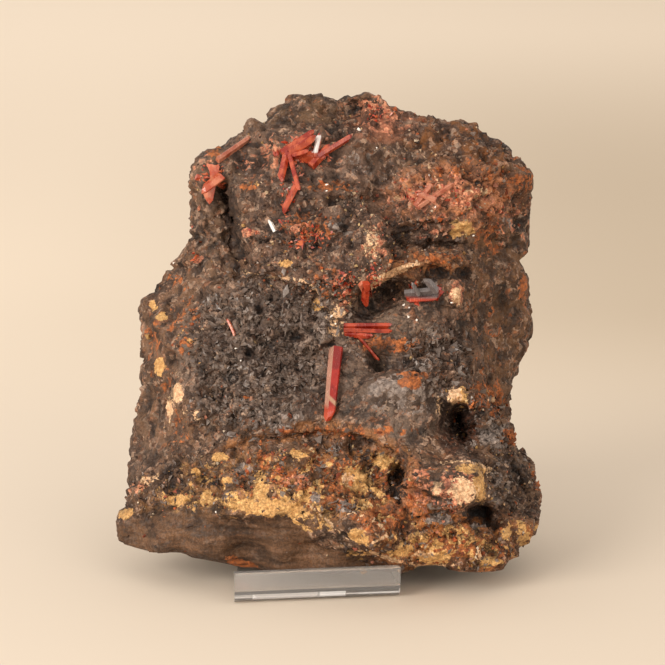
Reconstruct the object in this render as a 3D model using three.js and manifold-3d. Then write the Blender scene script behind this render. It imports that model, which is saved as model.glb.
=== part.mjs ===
// Crocoite crystals on a lump of limonite matrix, standing on a small clear easel.
// Millimetres, +Z up. The viewer looks along +Y from 12 degrees above the table.
import * as THREE from "three";
import { mergeVertices } from "three/addons/utils/BufferGeometryUtils.js";
import Module from "manifold-3d";

const wasm = await Module();
wasm.setup();

// Driving dimensions
const LEAN = 12; // degrees that the rock's face leans back from upright
const VIEW_DISTANCE = 620; // from which the face is seen in the true proportions given below
const FACE_HEIGHT = 53.9; // height of the face's middle above the table
const ROCK_GAP = 0.3; // between the rock and whatever touches it
const SOCKET_GAP = 0.3; // round a crystal, where it sits in the rock

const SHEET = 2.5; // the easel's acrylic sheet
const STAND_WIDTH = 37;
const LIP_HEIGHT = 7.2;
const SHELF_DEPTH = 50; // front of the lip to the front of the back rest
const REST_HEIGHT = 50; // top of the back rest above the table
const FOOT_REACH = 27; // rear leg's foot behind the foot of the back rest
const BEND_RADIUS = 3; // middle of the sheet, at each bend
const STAND_TURN = 7.9; // degrees about Z, left end nearer the viewer
const STAND_TAPER = 8.5; // degrees that each side runs inwards, behind the lip
const LIP_MIDDLE = [-3.2, -34.3];

const NET_STEP = 3.98; // spacing of the rock's faces half way back
const NET_FRONT = 34;
const NET_BACK = -37;
const NET_HALF_WIDTH = 58;
const NET_HALF_HEIGHT = 64;
const NET_SCALE = [0.86, 0.3]; // of the spacing across, at the front and what it gains by the back
const NET_CROWDING = 0.18; // how much closer the layers are at the front than at the back

// Places on the rock's face: [across, up], as the viewer sees them on the plane through its middle.
// Depths are towards the viewer, from that plane.

// Outline of the rock, clockwise from the left shoulder ledge
const OUTLINE = [
  [-47.5, 8.5], [-44.5, 11], [-41, 13.5], [-40, 15.5], [-37, 17], [-34.5, 19.5], [-33.5, 22.5],
  [-33, 24.5], [-33.5, 26.5], [-33, 28], [-33, 30.5], [-33.5, 34.5], [-33, 37.5], [-30, 41],
  [-28.5, 42.5], [-25.5, 43], [-24.5, 45], [-21, 45.5], [-19.5, 48], [-18, 50], [-16.5, 48.5],
  [-15, 48.5], [-13.5, 51.5], [-11, 54.5], [-8, 55.5], [-0.5, 54.5], [1.5, 54], [3.5, 56],
  [4.5, 56.5], [11, 56.5], [13.5, 53], [16, 53], [18.5, 50.5], [23.5, 49.5], [28, 48.5],
  [31, 48.5], [34, 46.5], [38.5, 44.5], [41.5, 42.5], [45, 39], [46.5, 36.5], [46.5, 33],
  [45.5, 28], [45, 22.5], [45.5, 19.5], [45, 17], [44, 16.5], [45.5, 13], [45.5, 9.5],
  [46.5, 6], [46.5, 0.5], [46, -4], [43.5, -7], [43, -9], [41.5, -13.5], [41, -19],
  [41, -24.5], [44.5, -27], [47, -31.5], [49, -36], [47.5, -40], [48.5, -42],
  [48, -46], [45, -49.5], [42.5, -52], [41.5, -55.5], [39.5, -57.5], [36, -56.5], [24.5, -55.5],
  [22, -56], [15.5, -56], [6.5, -56], [-4.5, -57], [-11, -56.5], [-16, -57],
  [-22, -55], [-26, -53], [-33, -51], [-35, -50.5], [-45, -51.5], [-49.5, -52],
  [-50, -47], [-50.5, -43.5], [-48.5, -38.5], [-50, -35], [-50.5, -30], [-50, -23],
  [-48, -13], [-47.5, -3], [-48.5, 4],
];

// Depth of the front, by region: [across, up, depth]
const RELIEF = {
  topKnobs: [[-7, 52, -9], [7, 53, -8], [2, 51, -13], [-18, 47, -10], [16, 51, -8]],
  leftShoulder: [
    [-27, 40, -5], [-30, 34, -2], [-30, 27, -5], [-32, 19, -8], [-25, 43, -8], [-25, 21, -6],
  ],
  upperFace: [
    [-20, 41, -5], [-13, 40, 0], [-5, 41, 2], [4, 42, 0], [-16, 32, 4], [-7, 32, 6],
    [3, 32, 4], [11, 40, -3], [12, 29, 0],
  ],
  dome: [
    [20, 45, -4], [29, 44, -3], [39, 41, -7], [25, 37, 5], [34, 35, 5], [43, 35, -4],
    [21, 28, 8], [32, 28, 6], [39, 26, -3], [44, 27, -12], [25, 23, 8],
  ],
  upperBlock: [
    [-16, 21, 8], [-7, 20, 13], [2, 22, 15], [10, 22, 12], [3, 14, 18], [-7, 15, 15],
    [10, 14, 15], [-15, 15, 12],
  ],
  leftSlope: [[-28, 16, -3], [-36, 14, -12], [-27, 10, 4], [-33, 9, -3], [-40, 9, -13]],
  vugWall: [
    [-21, 5, 9], [-14, 7, 11], [-5, 4, 12], [2, 5, 12], [-29, -1, 7], [-21, -4, 12],
    [-12, -4, 13], [-3, -4, 13], [-29, -11, 8], [-21, -13, 13], [-10, -14, 14], [-1, -13, 14],
    [-27, -21, 13], [-16, -20, 15], [-5, -20, 17],
  ],
  pocketFloor: [[11, 5, 11], [21, 5, 11], [16, -2, 13], [9, -3, 13], [25, 2, 10]],
  greyMound: [[10, -16, 20], [18, -11, 20], [21, -18, 19], [5, -20, 19], [16, -23, 21]],
  ledgeSlab: [[21, 16, 16], [27, 15, 14]],
  leftWall: [
    [-39, 3, -3], [-42, -3, -9], [-38, -5, 1], [-35, -3, 5], [-42, -16, -8], [-39, -16, 2],
    [-35, -16, 8], [-43, -25, -11], [-40, -25, 0], [-35, -25, 9], [-45, 3, -15],
    [-45, -11, -16], [-47, -25, -16], [-47, -34, -10],
  ],
  bottomLedge: [
    [-47, -41, 6], [-42, -36, 7], [-38, -33, 12], [-32, -33, 17], [-22, -33, 21],
    [-11, -30, 22], [1, -30, 22], [10, -34, 22], [-22, -40, 25], [-10, -40, 27],
    [2, -43, 28], [12, -46, 27], [21, -48, 25], [30, -48, 22], [39, -48, 19], [45, -46, 10],
  ],
  underside: [
    [-48, -47, 8], [-37, -47, 15], [-26, -48, 19], [-12, -50, 21], [-1, -53, 21],
    [12, -54, 18], [-21, -53, 13], [-5, -56, 18], [22, -54, 16], [39, -54, 19],
  ],
  rightWall: [
    [32, 14, -1], [39, 17, -7], [43, 20, -12], [33, 5, -3], [39, 5, -8], [45, 5, -14],
    [31, -2, 0], [37, -4, -6], [44, -3, -14], [34, -12, -3], [40, -13, -9],
  ],
  rightRidge: [[28, 7, 10], [26, -1, 10], [28, -8, 14], [28, -14, 17]],
  lowerRight: [
    [29, -21, 5], [36, -24, 9], [41, -25, 0], [39, -32, 12], [45, -34, 6], [48, -37, -5],
    [40, -39, 13], [46, -42, 4], [25, -34, 27], [32, -35, 27], [20, -39, 25], [26, -28, 20],
  ],
};
const RELIEF_REACH = 1.72; // how far one depth spreads before the next takes over

// Lumps, or pits where the height is negative: [across, up, half width, half height, height]
const LUMPS = {
  crustKnob: [9, 18.5, 5, 9, 3],
  pocketKnob: [28.5, 9.5, 2.8, 4, 4],
  creamBlock: [27.5, -14.5, 3.6, 4, 3],
  yellowLump: [30, -36, 7, 7.5, 4],
  rimLump: [20.5, -34, 4, 8, 2.5],
  greyLump: [36, -23.5, 5, 4.5, 4],
  rimmedFlake: [8, -45.5, 6, 4.5, 2.5],
  creamPatch: [-35.5, -14, 2.6, 4, 2],
  roundSpot: [-31, -19, 3.4, 3.4, 2],
  leftRib: [-17.5, 4, 2.6, 5, 2.4],
  middleRib: [-2.5, 0, 2.4, 5, 2.4],
  leftLobeTop: [-27, 36, 5, 6, 3],
  domeBulge: [33, 38, 10, 7, 2.5],
  topHollow: [5, 51, 3, 3.4, -2.5],
  pocket: [13.5, 9.5, 6, 3.6, -7],
  pocketHoleLeft: [25, 13, 3.2, 2.4, -5],
  pocketHoleRight: [30, 14, 2.6, 2.4, -4],
  deepCavity: [29, -22, 5.5, 6.5, -13],
  rimCavity: [14.5, -35, 3.8, 5, -7],
  lowHole: [33, -42, 4.2, 3.2, -9],
  leftCrevice: [-37, -33, 4.2, 4, -6],
};

// Clefts: a path, its half width and its depth
const CLEFTS = [
  { path: [[-25, 33], [-21.5, 23.5], [-23, 20], [-21, 14.5]], halfWidth: 3, depth: 8 },
  { path: [[15, 21.5], [20, 20.5], [22.5, 21.5], [27, 21], [31, 21.5]], halfWidth: 2.6, depth: 10 },
  { path: [[10.5, -6.5], [15.5, -7.5], [18, -6.5], [22, -3.5]], halfWidth: 2, depth: 5 },
];

// Overhanging edges, left to right: the rock stands out above the path and steps back below it
const EDGES = [
  {
    path: [[-21, 14], [-17.5, 13], [-10, 12.5], [-5, 11], [-2, 8.5]],
    lip: 1.5, drop: 4, reach: 6,
  },
  {
    path: [[8.5, 10], [11.5, 12], [14.5, 13.5], [17.5, 15], [22.5, 15.5], [31, 15]],
    lip: 1.5, drop: 4, reach: 5,
  },
  {
    path: [[-26, -28], [-19, -24], [-12, -23.5], [-5, -22.5], [1.5, -22.5], [8.5, -24.5], [15.5, -28],
      [18, -33]],
    lip: 2.5, drop: 4.5, reach: 7,
  },
  {
    path: [[-49, -43], [-44, -42.5], [-38.5, -39.5], [-30.5, -40], [-27, -42], [-21, -43.5], [-14, -42.5],
      [-9.5, -42], [-6, -44.5], [-4.5, -47.5], [-0.5, -49.5], [6.5, -51.5], [12, -53]],
    lip: 1.5, drop: 4, reach: 4,
  },
];

// Flat breaks that cut the back's corners off: the way each faces, and its distance from the middle
const BREAKS = {
  top: { facing: [0.1, 0.6, -0.79], distance: 47 },
  left: { facing: [-0.75, -0.1, -0.65], distance: 52 },
  upperRight: { facing: [0.7, 0.3, -0.65], distance: 54 },
  lowerRight: { facing: [0.6, -0.35, -0.72], distance: 51 },
  lowerLeft: { facing: [-0.5, -0.6, -0.62], distance: 53 },
};
const BACK_CHAMFER = { width: 9, slope: 0.6 }; // of the broken back edge

// Unevenness of each side: how far it goes, the size of its lumps, and the share that stays plain
const BACK_WAVES = { depth: 6, lump: 15 };
const BACK_PITS = { depth: 3, lump: 7, plain: 0.5 };
const BASE_WAVES = { depth: 4, lump: 12 };
const BASE_RISE = { from: 20, slope: 0.08 }; // towards the left and right ends
const FRONT_WAVES = { depth: 2.6, lump: 8 };
const SIDE_NICKS = { depth: 5, lump: 9, plain: 0.62 };
const FRONT_SLOPE = 0.75; // scales the front's depth, so that it blends evenly with the sides
const CORNER_BLENDS = { frontToSide: 2, backToBase: 3, frontToBack: 3 };

const radians = THREE.MathUtils.degToRad;

// The face's frame: x across, y up the face, z towards the viewer
const faceTurn = new THREE.Matrix4().makeRotationX(radians(90 - LEAN));
const faceToPart = new THREE.Matrix4().makeTranslation(0, 0, FACE_HEIGHT).multiply(faceTurn);

// The easel's frame: x along the lip, y towards the back, z up, from the foot of the lip
const standToPart = new THREE.Matrix4()
  .makeTranslation(LIP_MIDDLE[0], LIP_MIDDLE[1], 0)
  .multiply(new THREE.Matrix4().makeRotationZ(radians(STAND_TURN)));
const faceToStand = standToPart.clone().invert().multiply(faceToPart);

// A place on the face, as seen, moved to where it is at its own depth
function seen(across, up, depth) {
  const nearer = (VIEW_DISTANCE - depth) / VIEW_DISTANCE;
  return new THREE.Vector3(across * nearer, up * nearer, depth);
}

// Smooth repeatable noise from 0 to 1
function lattice(i, j, k) {
  let h = Math.imul(i, 374761393) + Math.imul(j, 668265263) + Math.imul(k, 2147483647);
  h = Math.imul(h ^ (h >>> 13), 1274126177);
  return ((h ^ (h >>> 16)) >>> 0) / 4294967295;
}

function noise(x, y, z, size) {
  const at = [x / size, y / size, z / size];
  const low = at.map(Math.floor);
  const [fx, fy, fz] = at.map((value, n) => THREE.MathUtils.smoothstep(value - low[n], 0, 1));
  const corner = (a, b, c) => lattice(low[0] + a, low[1] + b, low[2] + c);
  const { lerp } = THREE.MathUtils;
  const layer = (c) => lerp(
    lerp(corner(0, 0, c), corner(1, 0, c), fx),
    lerp(corner(0, 1, c), corner(1, 1, c), fx),
    fy,
  );
  return lerp(layer(0), layer(1), fz);
}

// Nearest point of a path: how far, and on which side (above is positive, left to right)
function nearPath(path, x, y) {
  let distance = Infinity;
  let above = 0;
  for (let n = 0; n + 1 < path.length; n += 1) {
    const [ax, ay] = path[n];
    const dx = path[n + 1][0] - ax;
    const dy = path[n + 1][1] - ay;
    const along = THREE.MathUtils.clamp(((x - ax) * dx + (y - ay) * dy) / (dx * dx + dy * dy), 0, 1);
    const ex = x - ax - dx * along;
    const ey = y - ay - dy * along;
    if (Math.hypot(ex, ey) < distance) {
      distance = Math.hypot(ex, ey);
      above = Math.sign(dx * ey - dy * ex);
    }
  }
  return { distance, above };
}

// Distance to the outline, negative inside it
function outlineDistance(x, y) {
  let inside = false;
  OUTLINE.forEach(([ax, ay], n) => {
    const [bx, by] = OUTLINE[(n + 1) % OUTLINE.length];
    if ((ay > y) !== (by > y) && x < ((bx - ax) * (y - ay)) / (by - ay) + ax) inside = !inside;
  });
  const { distance } = nearPath([...OUTLINE, OUTLINE[0]], x, y);
  return inside ? -distance : distance;
}

function frontDepth(x, y) {
  let sum = 0;
  let total = 1e-12;
  for (const [across, up, depth] of Object.values(RELIEF).flat()) {
    const weight = Math.exp(-Math.hypot(x - across, y - up) / RELIEF_REACH);
    sum += weight * depth;
    total += weight;
  }
  let depth = sum / total;
  for (const [across, up, halfWidth, halfHeight, height] of Object.values(LUMPS)) {
    const away = ((x - across) / halfWidth) ** 2 + ((y - up) / halfHeight) ** 2;
    if (away < 1) depth += height * (1 - away * away);
  }
  for (const { path, halfWidth, depth: cleft } of CLEFTS) {
    const { distance } = nearPath(path, x, y);
    if (distance < halfWidth) depth -= cleft * (1 - (distance / halfWidth) ** 2);
  }
  for (const { path, lip, drop, reach } of EDGES) {
    const { distance, above } = nearPath(path, x, y);
    if (distance < reach) depth += (above > 0 ? lip : -drop) * (1 - distance / reach);
  }
  return depth;
}

function smoothMax(a, b, blend) {
  const near = Math.max(blend - Math.abs(a - b), 0) / blend;
  return Math.max(a, b) + near * near * blend / 4;
}

// The rock as a field in the face's frame: negative inside, zero on its surface
function rockField(x, y, z) {
  const spread = VIEW_DISTANCE / (VIEW_DISTANCE - z);
  const outline = outlineDistance(x * spread, y * spread);
  const nicked = Math.max(0, noise(x, y, z, SIDE_NICKS.lump) - SIDE_NICKS.plain);
  const side = outline + SIDE_NICKS.depth * nicked;
  const rough = FRONT_WAVES.depth * (noise(x + 40, y, z, FRONT_WAVES.lump) - 0.5);
  const front = (z - frontDepth(x * spread, y * spread) + rough) * FRONT_SLOPE;
  const at = new THREE.Vector3(x, y, z).applyMatrix4(faceToStand);
  const chamfer = BACK_CHAMFER.slope * Math.max(0, BACK_CHAMFER.width + outline);
  const waves = BACK_WAVES.depth * noise(x, y, 70, BACK_WAVES.lump) ** 1.5;
  const pits = BACK_PITS.depth * Math.max(0, noise(x, y, z, BACK_PITS.lump) - BACK_PITS.plain);
  const wall = SHELF_DEPTH - ROCK_GAP + at.z * Math.tan(radians(LEAN));
  const flat = (at.y - wall) * Math.cos(radians(LEAN)) + chamfer;
  const broken = Object.values(BREAKS).map(({ facing: [fx, fy, fz], distance }) => (
    fx * x + fy * y + fz * z - distance
  ));
  const back = Math.max(flat, ...broken) + waves + pits;
  const rise = BASE_WAVES.depth * noise(x, 30, z, BASE_WAVES.lump) ** 2
    + BASE_RISE.slope * Math.max(0, Math.abs(x) - BASE_RISE.from);
  const base = SHEET + ROCK_GAP + rise - at.z;
  return smoothMax(
    smoothMax(side, front, CORNER_BLENDS.frontToSide),
    smoothMax(back, base, CORNER_BLENDS.backToBase),
    CORNER_BLENDS.frontToBack,
  );
}

// Faces the surface of a field on a net that is finer at the front than at the back
function faceField(field) {
  const deepest = NET_FRONT - NET_BACK;
  const layers = Math.round(deepest / NET_STEP);
  const widths = [Math.ceil(NET_HALF_WIDTH / NET_STEP), Math.ceil(NET_HALF_HEIGHT / NET_STEP)];
  const count = [2 * widths[0] + 1, 2 * widths[1] + 1, layers + 1];
  const place = (i, j, k) => {
    const t = k / layers;
    const grow = NET_SCALE[0] + NET_SCALE[1] * t;
    return new THREE.Vector3(
      (i - widths[0]) * NET_STEP * grow,
      (j - widths[1]) * NET_STEP * grow,
      NET_FRONT - deepest * (t - NET_CROWDING * t * (1 - t)),
    );
  };
  const index = (i, j, k) => (k * count[1] + j) * count[0] + i;
  const values = new Float64Array(count[0] * count[1] * count[2]);
  const everyCell = (visit) => {
    for (let k = 0; k + 1 < count[2]; k += 1) {
      for (let j = 0; j + 1 < count[1]; j += 1) {
        for (let i = 0; i + 1 < count[0]; i += 1) visit(i, j, k);
      }
    }
  };
  for (let k = 0; k < count[2]; k += 1) {
    for (let j = 0; j < count[1]; j += 1) {
      for (let i = 0; i < count[0]; i += 1) {
        const at = place(i, j, k);
        values[index(i, j, k)] = field(at.x, at.y, at.z) || 1e-6;
      }
    }
  }
  const corners = [0, 1, 2, 3, 4, 5, 6, 7].map((n) => [n & 1, (n >> 1) & 1, n >> 2]);
  const cellNodes = (i, j, k) => corners.map(([a, b, c]) => index(i + a, j + b, k + c));

  // A cell's inside corners must hang together along its edges, and so must its outside ones
  const hangTogether = (inside, wanted) => {
    const members = corners.map((_, n) => n).filter((n) => inside[n] === wanted);
    if (members.length < 2) return true;
    const reached = new Set([members[0]]);
    for (const n of reached) {
      [1, 2, 4].forEach((bit) => {
        if (inside[n ^ bit] === wanted) reached.add(n ^ bit);
      });
    }
    return reached.size === members.length;
  };
  const crossedFace = (inside) => [1, 2, 4].some((a) => [1, 2, 4].some((b) => {
    if (a >= b) return false;
    const other = 7 - a - b;
    return [0, other].some((n) => inside[n] === inside[n ^ a ^ b] && inside[n ^ a] === inside[n ^ b]
      && inside[n] !== inside[n ^ a]);
  }));
  let mended = true;
  while (mended) {
    mended = false;
    everyCell((i, j, k) => {
      const nodes = cellNodes(i, j, k);
      const inside = nodes.map((node) => values[node] < 0);
      if (inside.every((state) => state === inside[0])) return;
      if (hangTogether(inside, true) && hangTogether(inside, false) && !crossedFace(inside)) return;
      const outer = nodes.filter((_, n) => !inside[n]).sort((a, b) => values[a] - values[b]);
      values[outer[0]] = -0.2;
      mended = true;
    });
  }

  // Each cell that the surface crosses gets one vertex, moved onto the surface within the cell
  const vertices = [];
  const vertexOf = new Map();
  const onSurface = (at) => {
    const reach = 0.2;
    for (let n = 0; n < 3; n += 1) {
      const value = field(at.x, at.y, at.z);
      const slope = new THREE.Vector3(
        field(at.x + reach, at.y, at.z) - field(at.x - reach, at.y, at.z),
        field(at.x, at.y + reach, at.z) - field(at.x, at.y - reach, at.z),
        field(at.x, at.y, at.z + reach) - field(at.x, at.y, at.z - reach),
      ).divideScalar(2 * reach);
      const steep = Math.max(slope.lengthSq(), 0.3);
      at.addScaledVector(slope, -0.7 * THREE.MathUtils.clamp(value, -1.5, 1.5) / steep);
    }
  };
  everyCell((i, j, k) => {
    const nodes = cellNodes(i, j, k);
    if (nodes.every((node) => values[node] < 0) || nodes.every((node) => values[node] >= 0)) return;
    const middle = new THREE.Vector3();
    let crossings = 0;
    corners.forEach((corner, n) => [1, 2, 4].forEach((bit) => {
      const m = n | bit;
      if (m === n || (values[nodes[n]] < 0) === (values[nodes[m]] < 0)) return;
      const share = values[nodes[n]] / (values[nodes[n]] - values[nodes[m]]);
      const from = place(i + corner[0], j + corner[1], k + corner[2]);
      const to = place(i + corners[m][0], j + corners[m][1], k + corners[m][2]);
      middle.add(from.lerp(to, THREE.MathUtils.clamp(share, 0.1, 0.9)));
      crossings += 1;
    }));
    middle.divideScalar(crossings);
    const moved = middle.clone();
    onSurface(moved);
    const low = place(i, j, k);
    const high = place(i + 1, j + 1, k + 1);
    const margin = 0.06 * NET_STEP;
    const least = low.clone().min(high).addScalar(margin);
    const most = low.clone().max(high).subScalar(margin);
    vertexOf.set(index(i, j, k), vertices.length / 3);
    vertices.push(...moved.clamp(least, most).toArray());
  });

  // Each net edge that the surface crosses joins its four cells' vertices in two triangles
  const triangles = [];
  const apart = (a, b) => Math.hypot(...[0, 1, 2].map((n) => vertices[3 * a + n] - vertices[3 * b + n]));
  const addQuad = (ring, outward) => {
    const [a, b, c, d] = outward ? ring : [...ring].reverse();
    if (apart(a, c) < apart(b, d)) triangles.push(a, b, c, a, c, d);
    else triangles.push(a, b, d, b, c, d);
  };
  const steps = [[1, 0, 0], [0, 1, 0], [0, 0, 1]];
  everyCell((i, j, k) => steps.forEach((step, axis) => {
    const [b, c] = [steps[(axis + 1) % 3], steps[(axis + 2) % 3]];
    if ([i, j, k].some((n, m) => n === 0 && m !== axis)) return;
    const here = values[index(i, j, k)] < 0;
    const there = values[index(i + step[0], j + step[1], k + step[2])] < 0;
    if (here === there) return;
    const cell = (p, q) => vertexOf.get(
      index(i - p * b[0] - q * c[0], j - p * b[1] - q * c[1], k - p * b[2] - q * c[2]),
    );
    // The net runs backwards in depth, so its handedness is mirrored
    addQuad([cell(0, 0), cell(1, 0), cell(1, 1), cell(0, 1)], !here);
  }));
  const geometry = new THREE.BufferGeometry();
  geometry.setAttribute("position", new THREE.BufferAttribute(new Float32Array(vertices), 3));
  geometry.setIndex(triangles);
  return geometry;
}

function toSolid(geometry) {
  const bare = geometry.clone();
  bare.deleteAttribute("normal");
  bare.deleteAttribute("uv");
  const merged = mergeVertices(bare, 1e-4);
  return new wasm.Manifold(new wasm.Mesh({
    numProp: 3,
    vertProperties: new Float32Array(merged.attributes.position.array),
    triVerts: new Uint32Array(merged.index.array),
  }));
}

function toGeometry(solid) {
  const mesh = solid.getMesh();
  const geometry = new THREE.BufferGeometry();
  geometry.setAttribute("position", new THREE.BufferAttribute(mesh.vertProperties, 3));
  geometry.setIndex(new THREE.BufferAttribute(mesh.triVerts, 1));
  return geometry;
}

// The largest body of a solid, with any sealed hollow inside it filled
const wholeBody = (solid) => solid.decompose().sort((a, b) => b.volume() - a.volume())[0];

const join = (geometries) => wholeBody(geometries.map(toSolid).reduce((all, one) => all.add(one)));

// A crystal's cross-section: a flattened rhomb with its two sharp corners cut back
const SECTION = [[-0.5, -0.12], [-0.12, -0.5], [0.12, -0.5], [0.5, -0.08], [0.5, 0.12], [0.1, 0.5], [-0.5, 0.1]];

// Depth at which a line of sight meets the rock
function surfaceDepth(across, up) {
  const solid = (depth) => rockField(...seen(across, up, depth).toArray()) < 0;
  let depth = NET_FRONT;
  while (depth > NET_BACK && !solid(depth)) depth -= 0.5;
  return depth;
}

function standingOut([across, up, proud]) {
  return seen(across, up, surfaceDepth(across, up) + proud);
}

// One prism from its root to its tip, which ends in a slanting face with bevelled edges.
// `roll` turns it about its own length; `grow` makes it thicker all round, for its socket.
function prism(crystal, grow = 0) {
  const { from, to, width, thickness = width * 0.8, roll = 0, slant = 0.5, taper = 0.92 } = crystal;
  const root = standingOut(from);
  const tip = standingOut(to);
  const length = root.distanceTo(tip) + 2 * grow;
  const bevel = Math.min(width * 0.35, length * 0.2);
  const rings = [[0, 1], [length - bevel, taper], [length, taper * 0.55]];
  const vertices = [];
  rings.forEach(([along, scale], level) => SECTION.forEach(([across, through]) => {
    const shear = level > 0 ? slant * across * width : 0;
    vertices.push(
      across * (width + 2 * grow) * scale,
      through * (thickness + 2 * grow) * scale,
      along - grow + shear,
    );
  }));
  const sides = SECTION.length;
  const triangles = [];
  for (let n = 1; n + 1 < sides; n += 1) {
    triangles.push(0, n + 1, n);
    triangles.push(2 * sides, 2 * sides + n, 2 * sides + n + 1);
  }
  for (let level = 0; level < 2; level += 1) {
    for (let n = 0; n < sides; n += 1) {
      const a = level * sides + n;
      const b = level * sides + ((n + 1) % sides);
      triangles.push(a, b, b + sides, a, b + sides, a + sides);
    }
  }
  const geometry = new THREE.BufferGeometry();
  geometry.setAttribute("position", new THREE.BufferAttribute(new Float32Array(vertices), 3));
  geometry.setIndex(triangles);
  const along = tip.clone().sub(root).normalize();
  const aside = new THREE.Vector3(0, 0, 1).cross(along).normalize();
  const facing = along.clone().cross(aside);
  geometry.applyMatrix4(new THREE.Matrix4().makeRotationZ(radians(roll)));
  geometry.applyMatrix4(new THREE.Matrix4().makeBasis(aside, facing, along).setPosition(root));
  return geometry;
}

// Crystals by the cluster that they grow in. Each runs from its root to its tip: [across, up, how far
// its middle stands out from the rock's surface].
const CRYSTALS = {
  main_prism: [
    {
      from: [0.8, -3.6, 0.5], to: [-0.8, -19.9, 0.6],
      width: 3.4, thickness: 3, roll: 32, slant: -0.3, taper: 0.78,
    },
  ],
  prism_bundle: [
    { from: [2.6, 1.5, 0.2], to: [13.4, 1.6, 0.9], width: 1.4, roll: 20 },
    { from: [2.6, 0.6, 0.6], to: [13.4, 0.3, 1.3], width: 1.5, roll: 65 },
    { from: [2.8, -0.4, 0.3], to: [9, -0.9, 0.8], width: 1.3, roll: 10 },
    { from: [5.4, -0.2, 0.8], to: [10.5, -6.3, 1.6], width: 0.8, roll: 30 },
  ],
  crown_cluster: [
    { from: [-9.6, 41, 0], to: [-2.4, 39.8, 0.4], width: 3, roll: 5 },
    { from: [-11.6, 41, 0.2], to: [-4.4, 45.8, 1.4], width: 2.4, roll: 15 },
    { from: [-9.6, 41.2, 0.8], to: [-4.2, 44.6, 2.6], width: 2.9, roll: 50 },
    { from: [-4, 40.2, 0.6], to: [-3, 45.4, 3.4], width: 1.7, roll: 70 },
    { from: [-5, 38.2, 0.4], to: [-0.8, 42.6, 1.6], width: 2.2, roll: 25 },
    { from: [-3.4, 40.4, 0.4], to: [4.2, 45, 1.4], width: 1.7, roll: 40 },
    { from: [-10.4, 41.6, 0.6], to: [-12, 35, 1.8], width: 1.8, roll: 10 },
    { from: [-10, 41.2, 0.6], to: [-7.8, 32.8, 1.6], width: 1.7, roll: 60 },
    { from: [-8.3, 33.8, 0.8], to: [-11.4, 27.8, 1.2], width: 1.6, roll: 20 },
    { from: [-9, 40.6, 0.8], to: [-5.6, 41.6, 3], width: 1.6, roll: 35 },
  ],
  left_shoulder_cluster: [
    { from: [-27.4, 38.6, -0.2], to: [-28.9, 30.4, 1.2], width: 3.2, thickness: 1.8, roll: 15 },
    { from: [-25.6, 36, 0], to: [-30, 32.6, 1.4], width: 2.8, thickness: 1.8, roll: 40 },
    { from: [-31.4, 35.8, -0.4], to: [-26.6, 34.2, 1.2], width: 1.5, roll: 20 },
    { from: [-27.2, 34.6, 0.2], to: [-25.2, 33.4, 2.4], width: 1.7, roll: 60 },
  ],
  shoulder_prism: [
    { from: [-26.4, 39.6, 0], to: [-19.2, 44.6, 0.2], width: 1.6, roll: 30 },
  ],
  white_prism: [
    { from: [-13.2, 23.2, 0.2], to: [-14.5, 25.8, 1.2], width: 1.1, roll: 30 },
  ],
  ledge_blade: [
    { from: [7.8, 11.4, -0.2], to: [7.4, 6.4, 1.6], width: 1.9, thickness: 1.4, roll: 20 },
    { from: [8.2, 11, -0.2], to: [8.7, 8.6, 1.2], width: 1.2, roll: 60 },
  ],
  pocket_crystals: [
    { from: [17, 8.4, 4.2], to: [25.2, 8.8, 0.6], width: 2.2, roll: 5 },
    { from: [16.6, 9, 5.2], to: [24.8, 9.8, 1.4], width: 1.8, roll: 20 },
    { from: [17.6, 7.4, 2], to: [23.8, 7.8, 1.2], width: 1.5, roll: 50 },
    { from: [23.6, 7.8, 0.6], to: [25.3, 11.3, 1.8], width: 1.6, roll: 30 },
    { from: [19.8, 8.6, 1], to: [18.4, 11.4, 2], width: 1.3, roll: 70 },
    { from: [24, 9.4, 1.2], to: [21.4, 12.4, 2.2], width: 1.8, roll: 10 },
  ],
  small_needle: [
    { from: [-22.4, -0.7, 0.2], to: [-24.1, 3, 0.8], width: 0.8, roll: 30 },
  ],
  dome_cluster: [
    { from: [19, 29, 0], to: [22.6, 33.6, 0.8], width: 1.7, roll: 30 },
    { from: [19.4, 28.6, 0], to: [27.4, 34, 0.6], width: 1.6, roll: 70 },
    { from: [23.8, 30.4, 0], to: [19.8, 32, 1], width: 1.4, roll: 10 },
  ],
};

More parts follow.
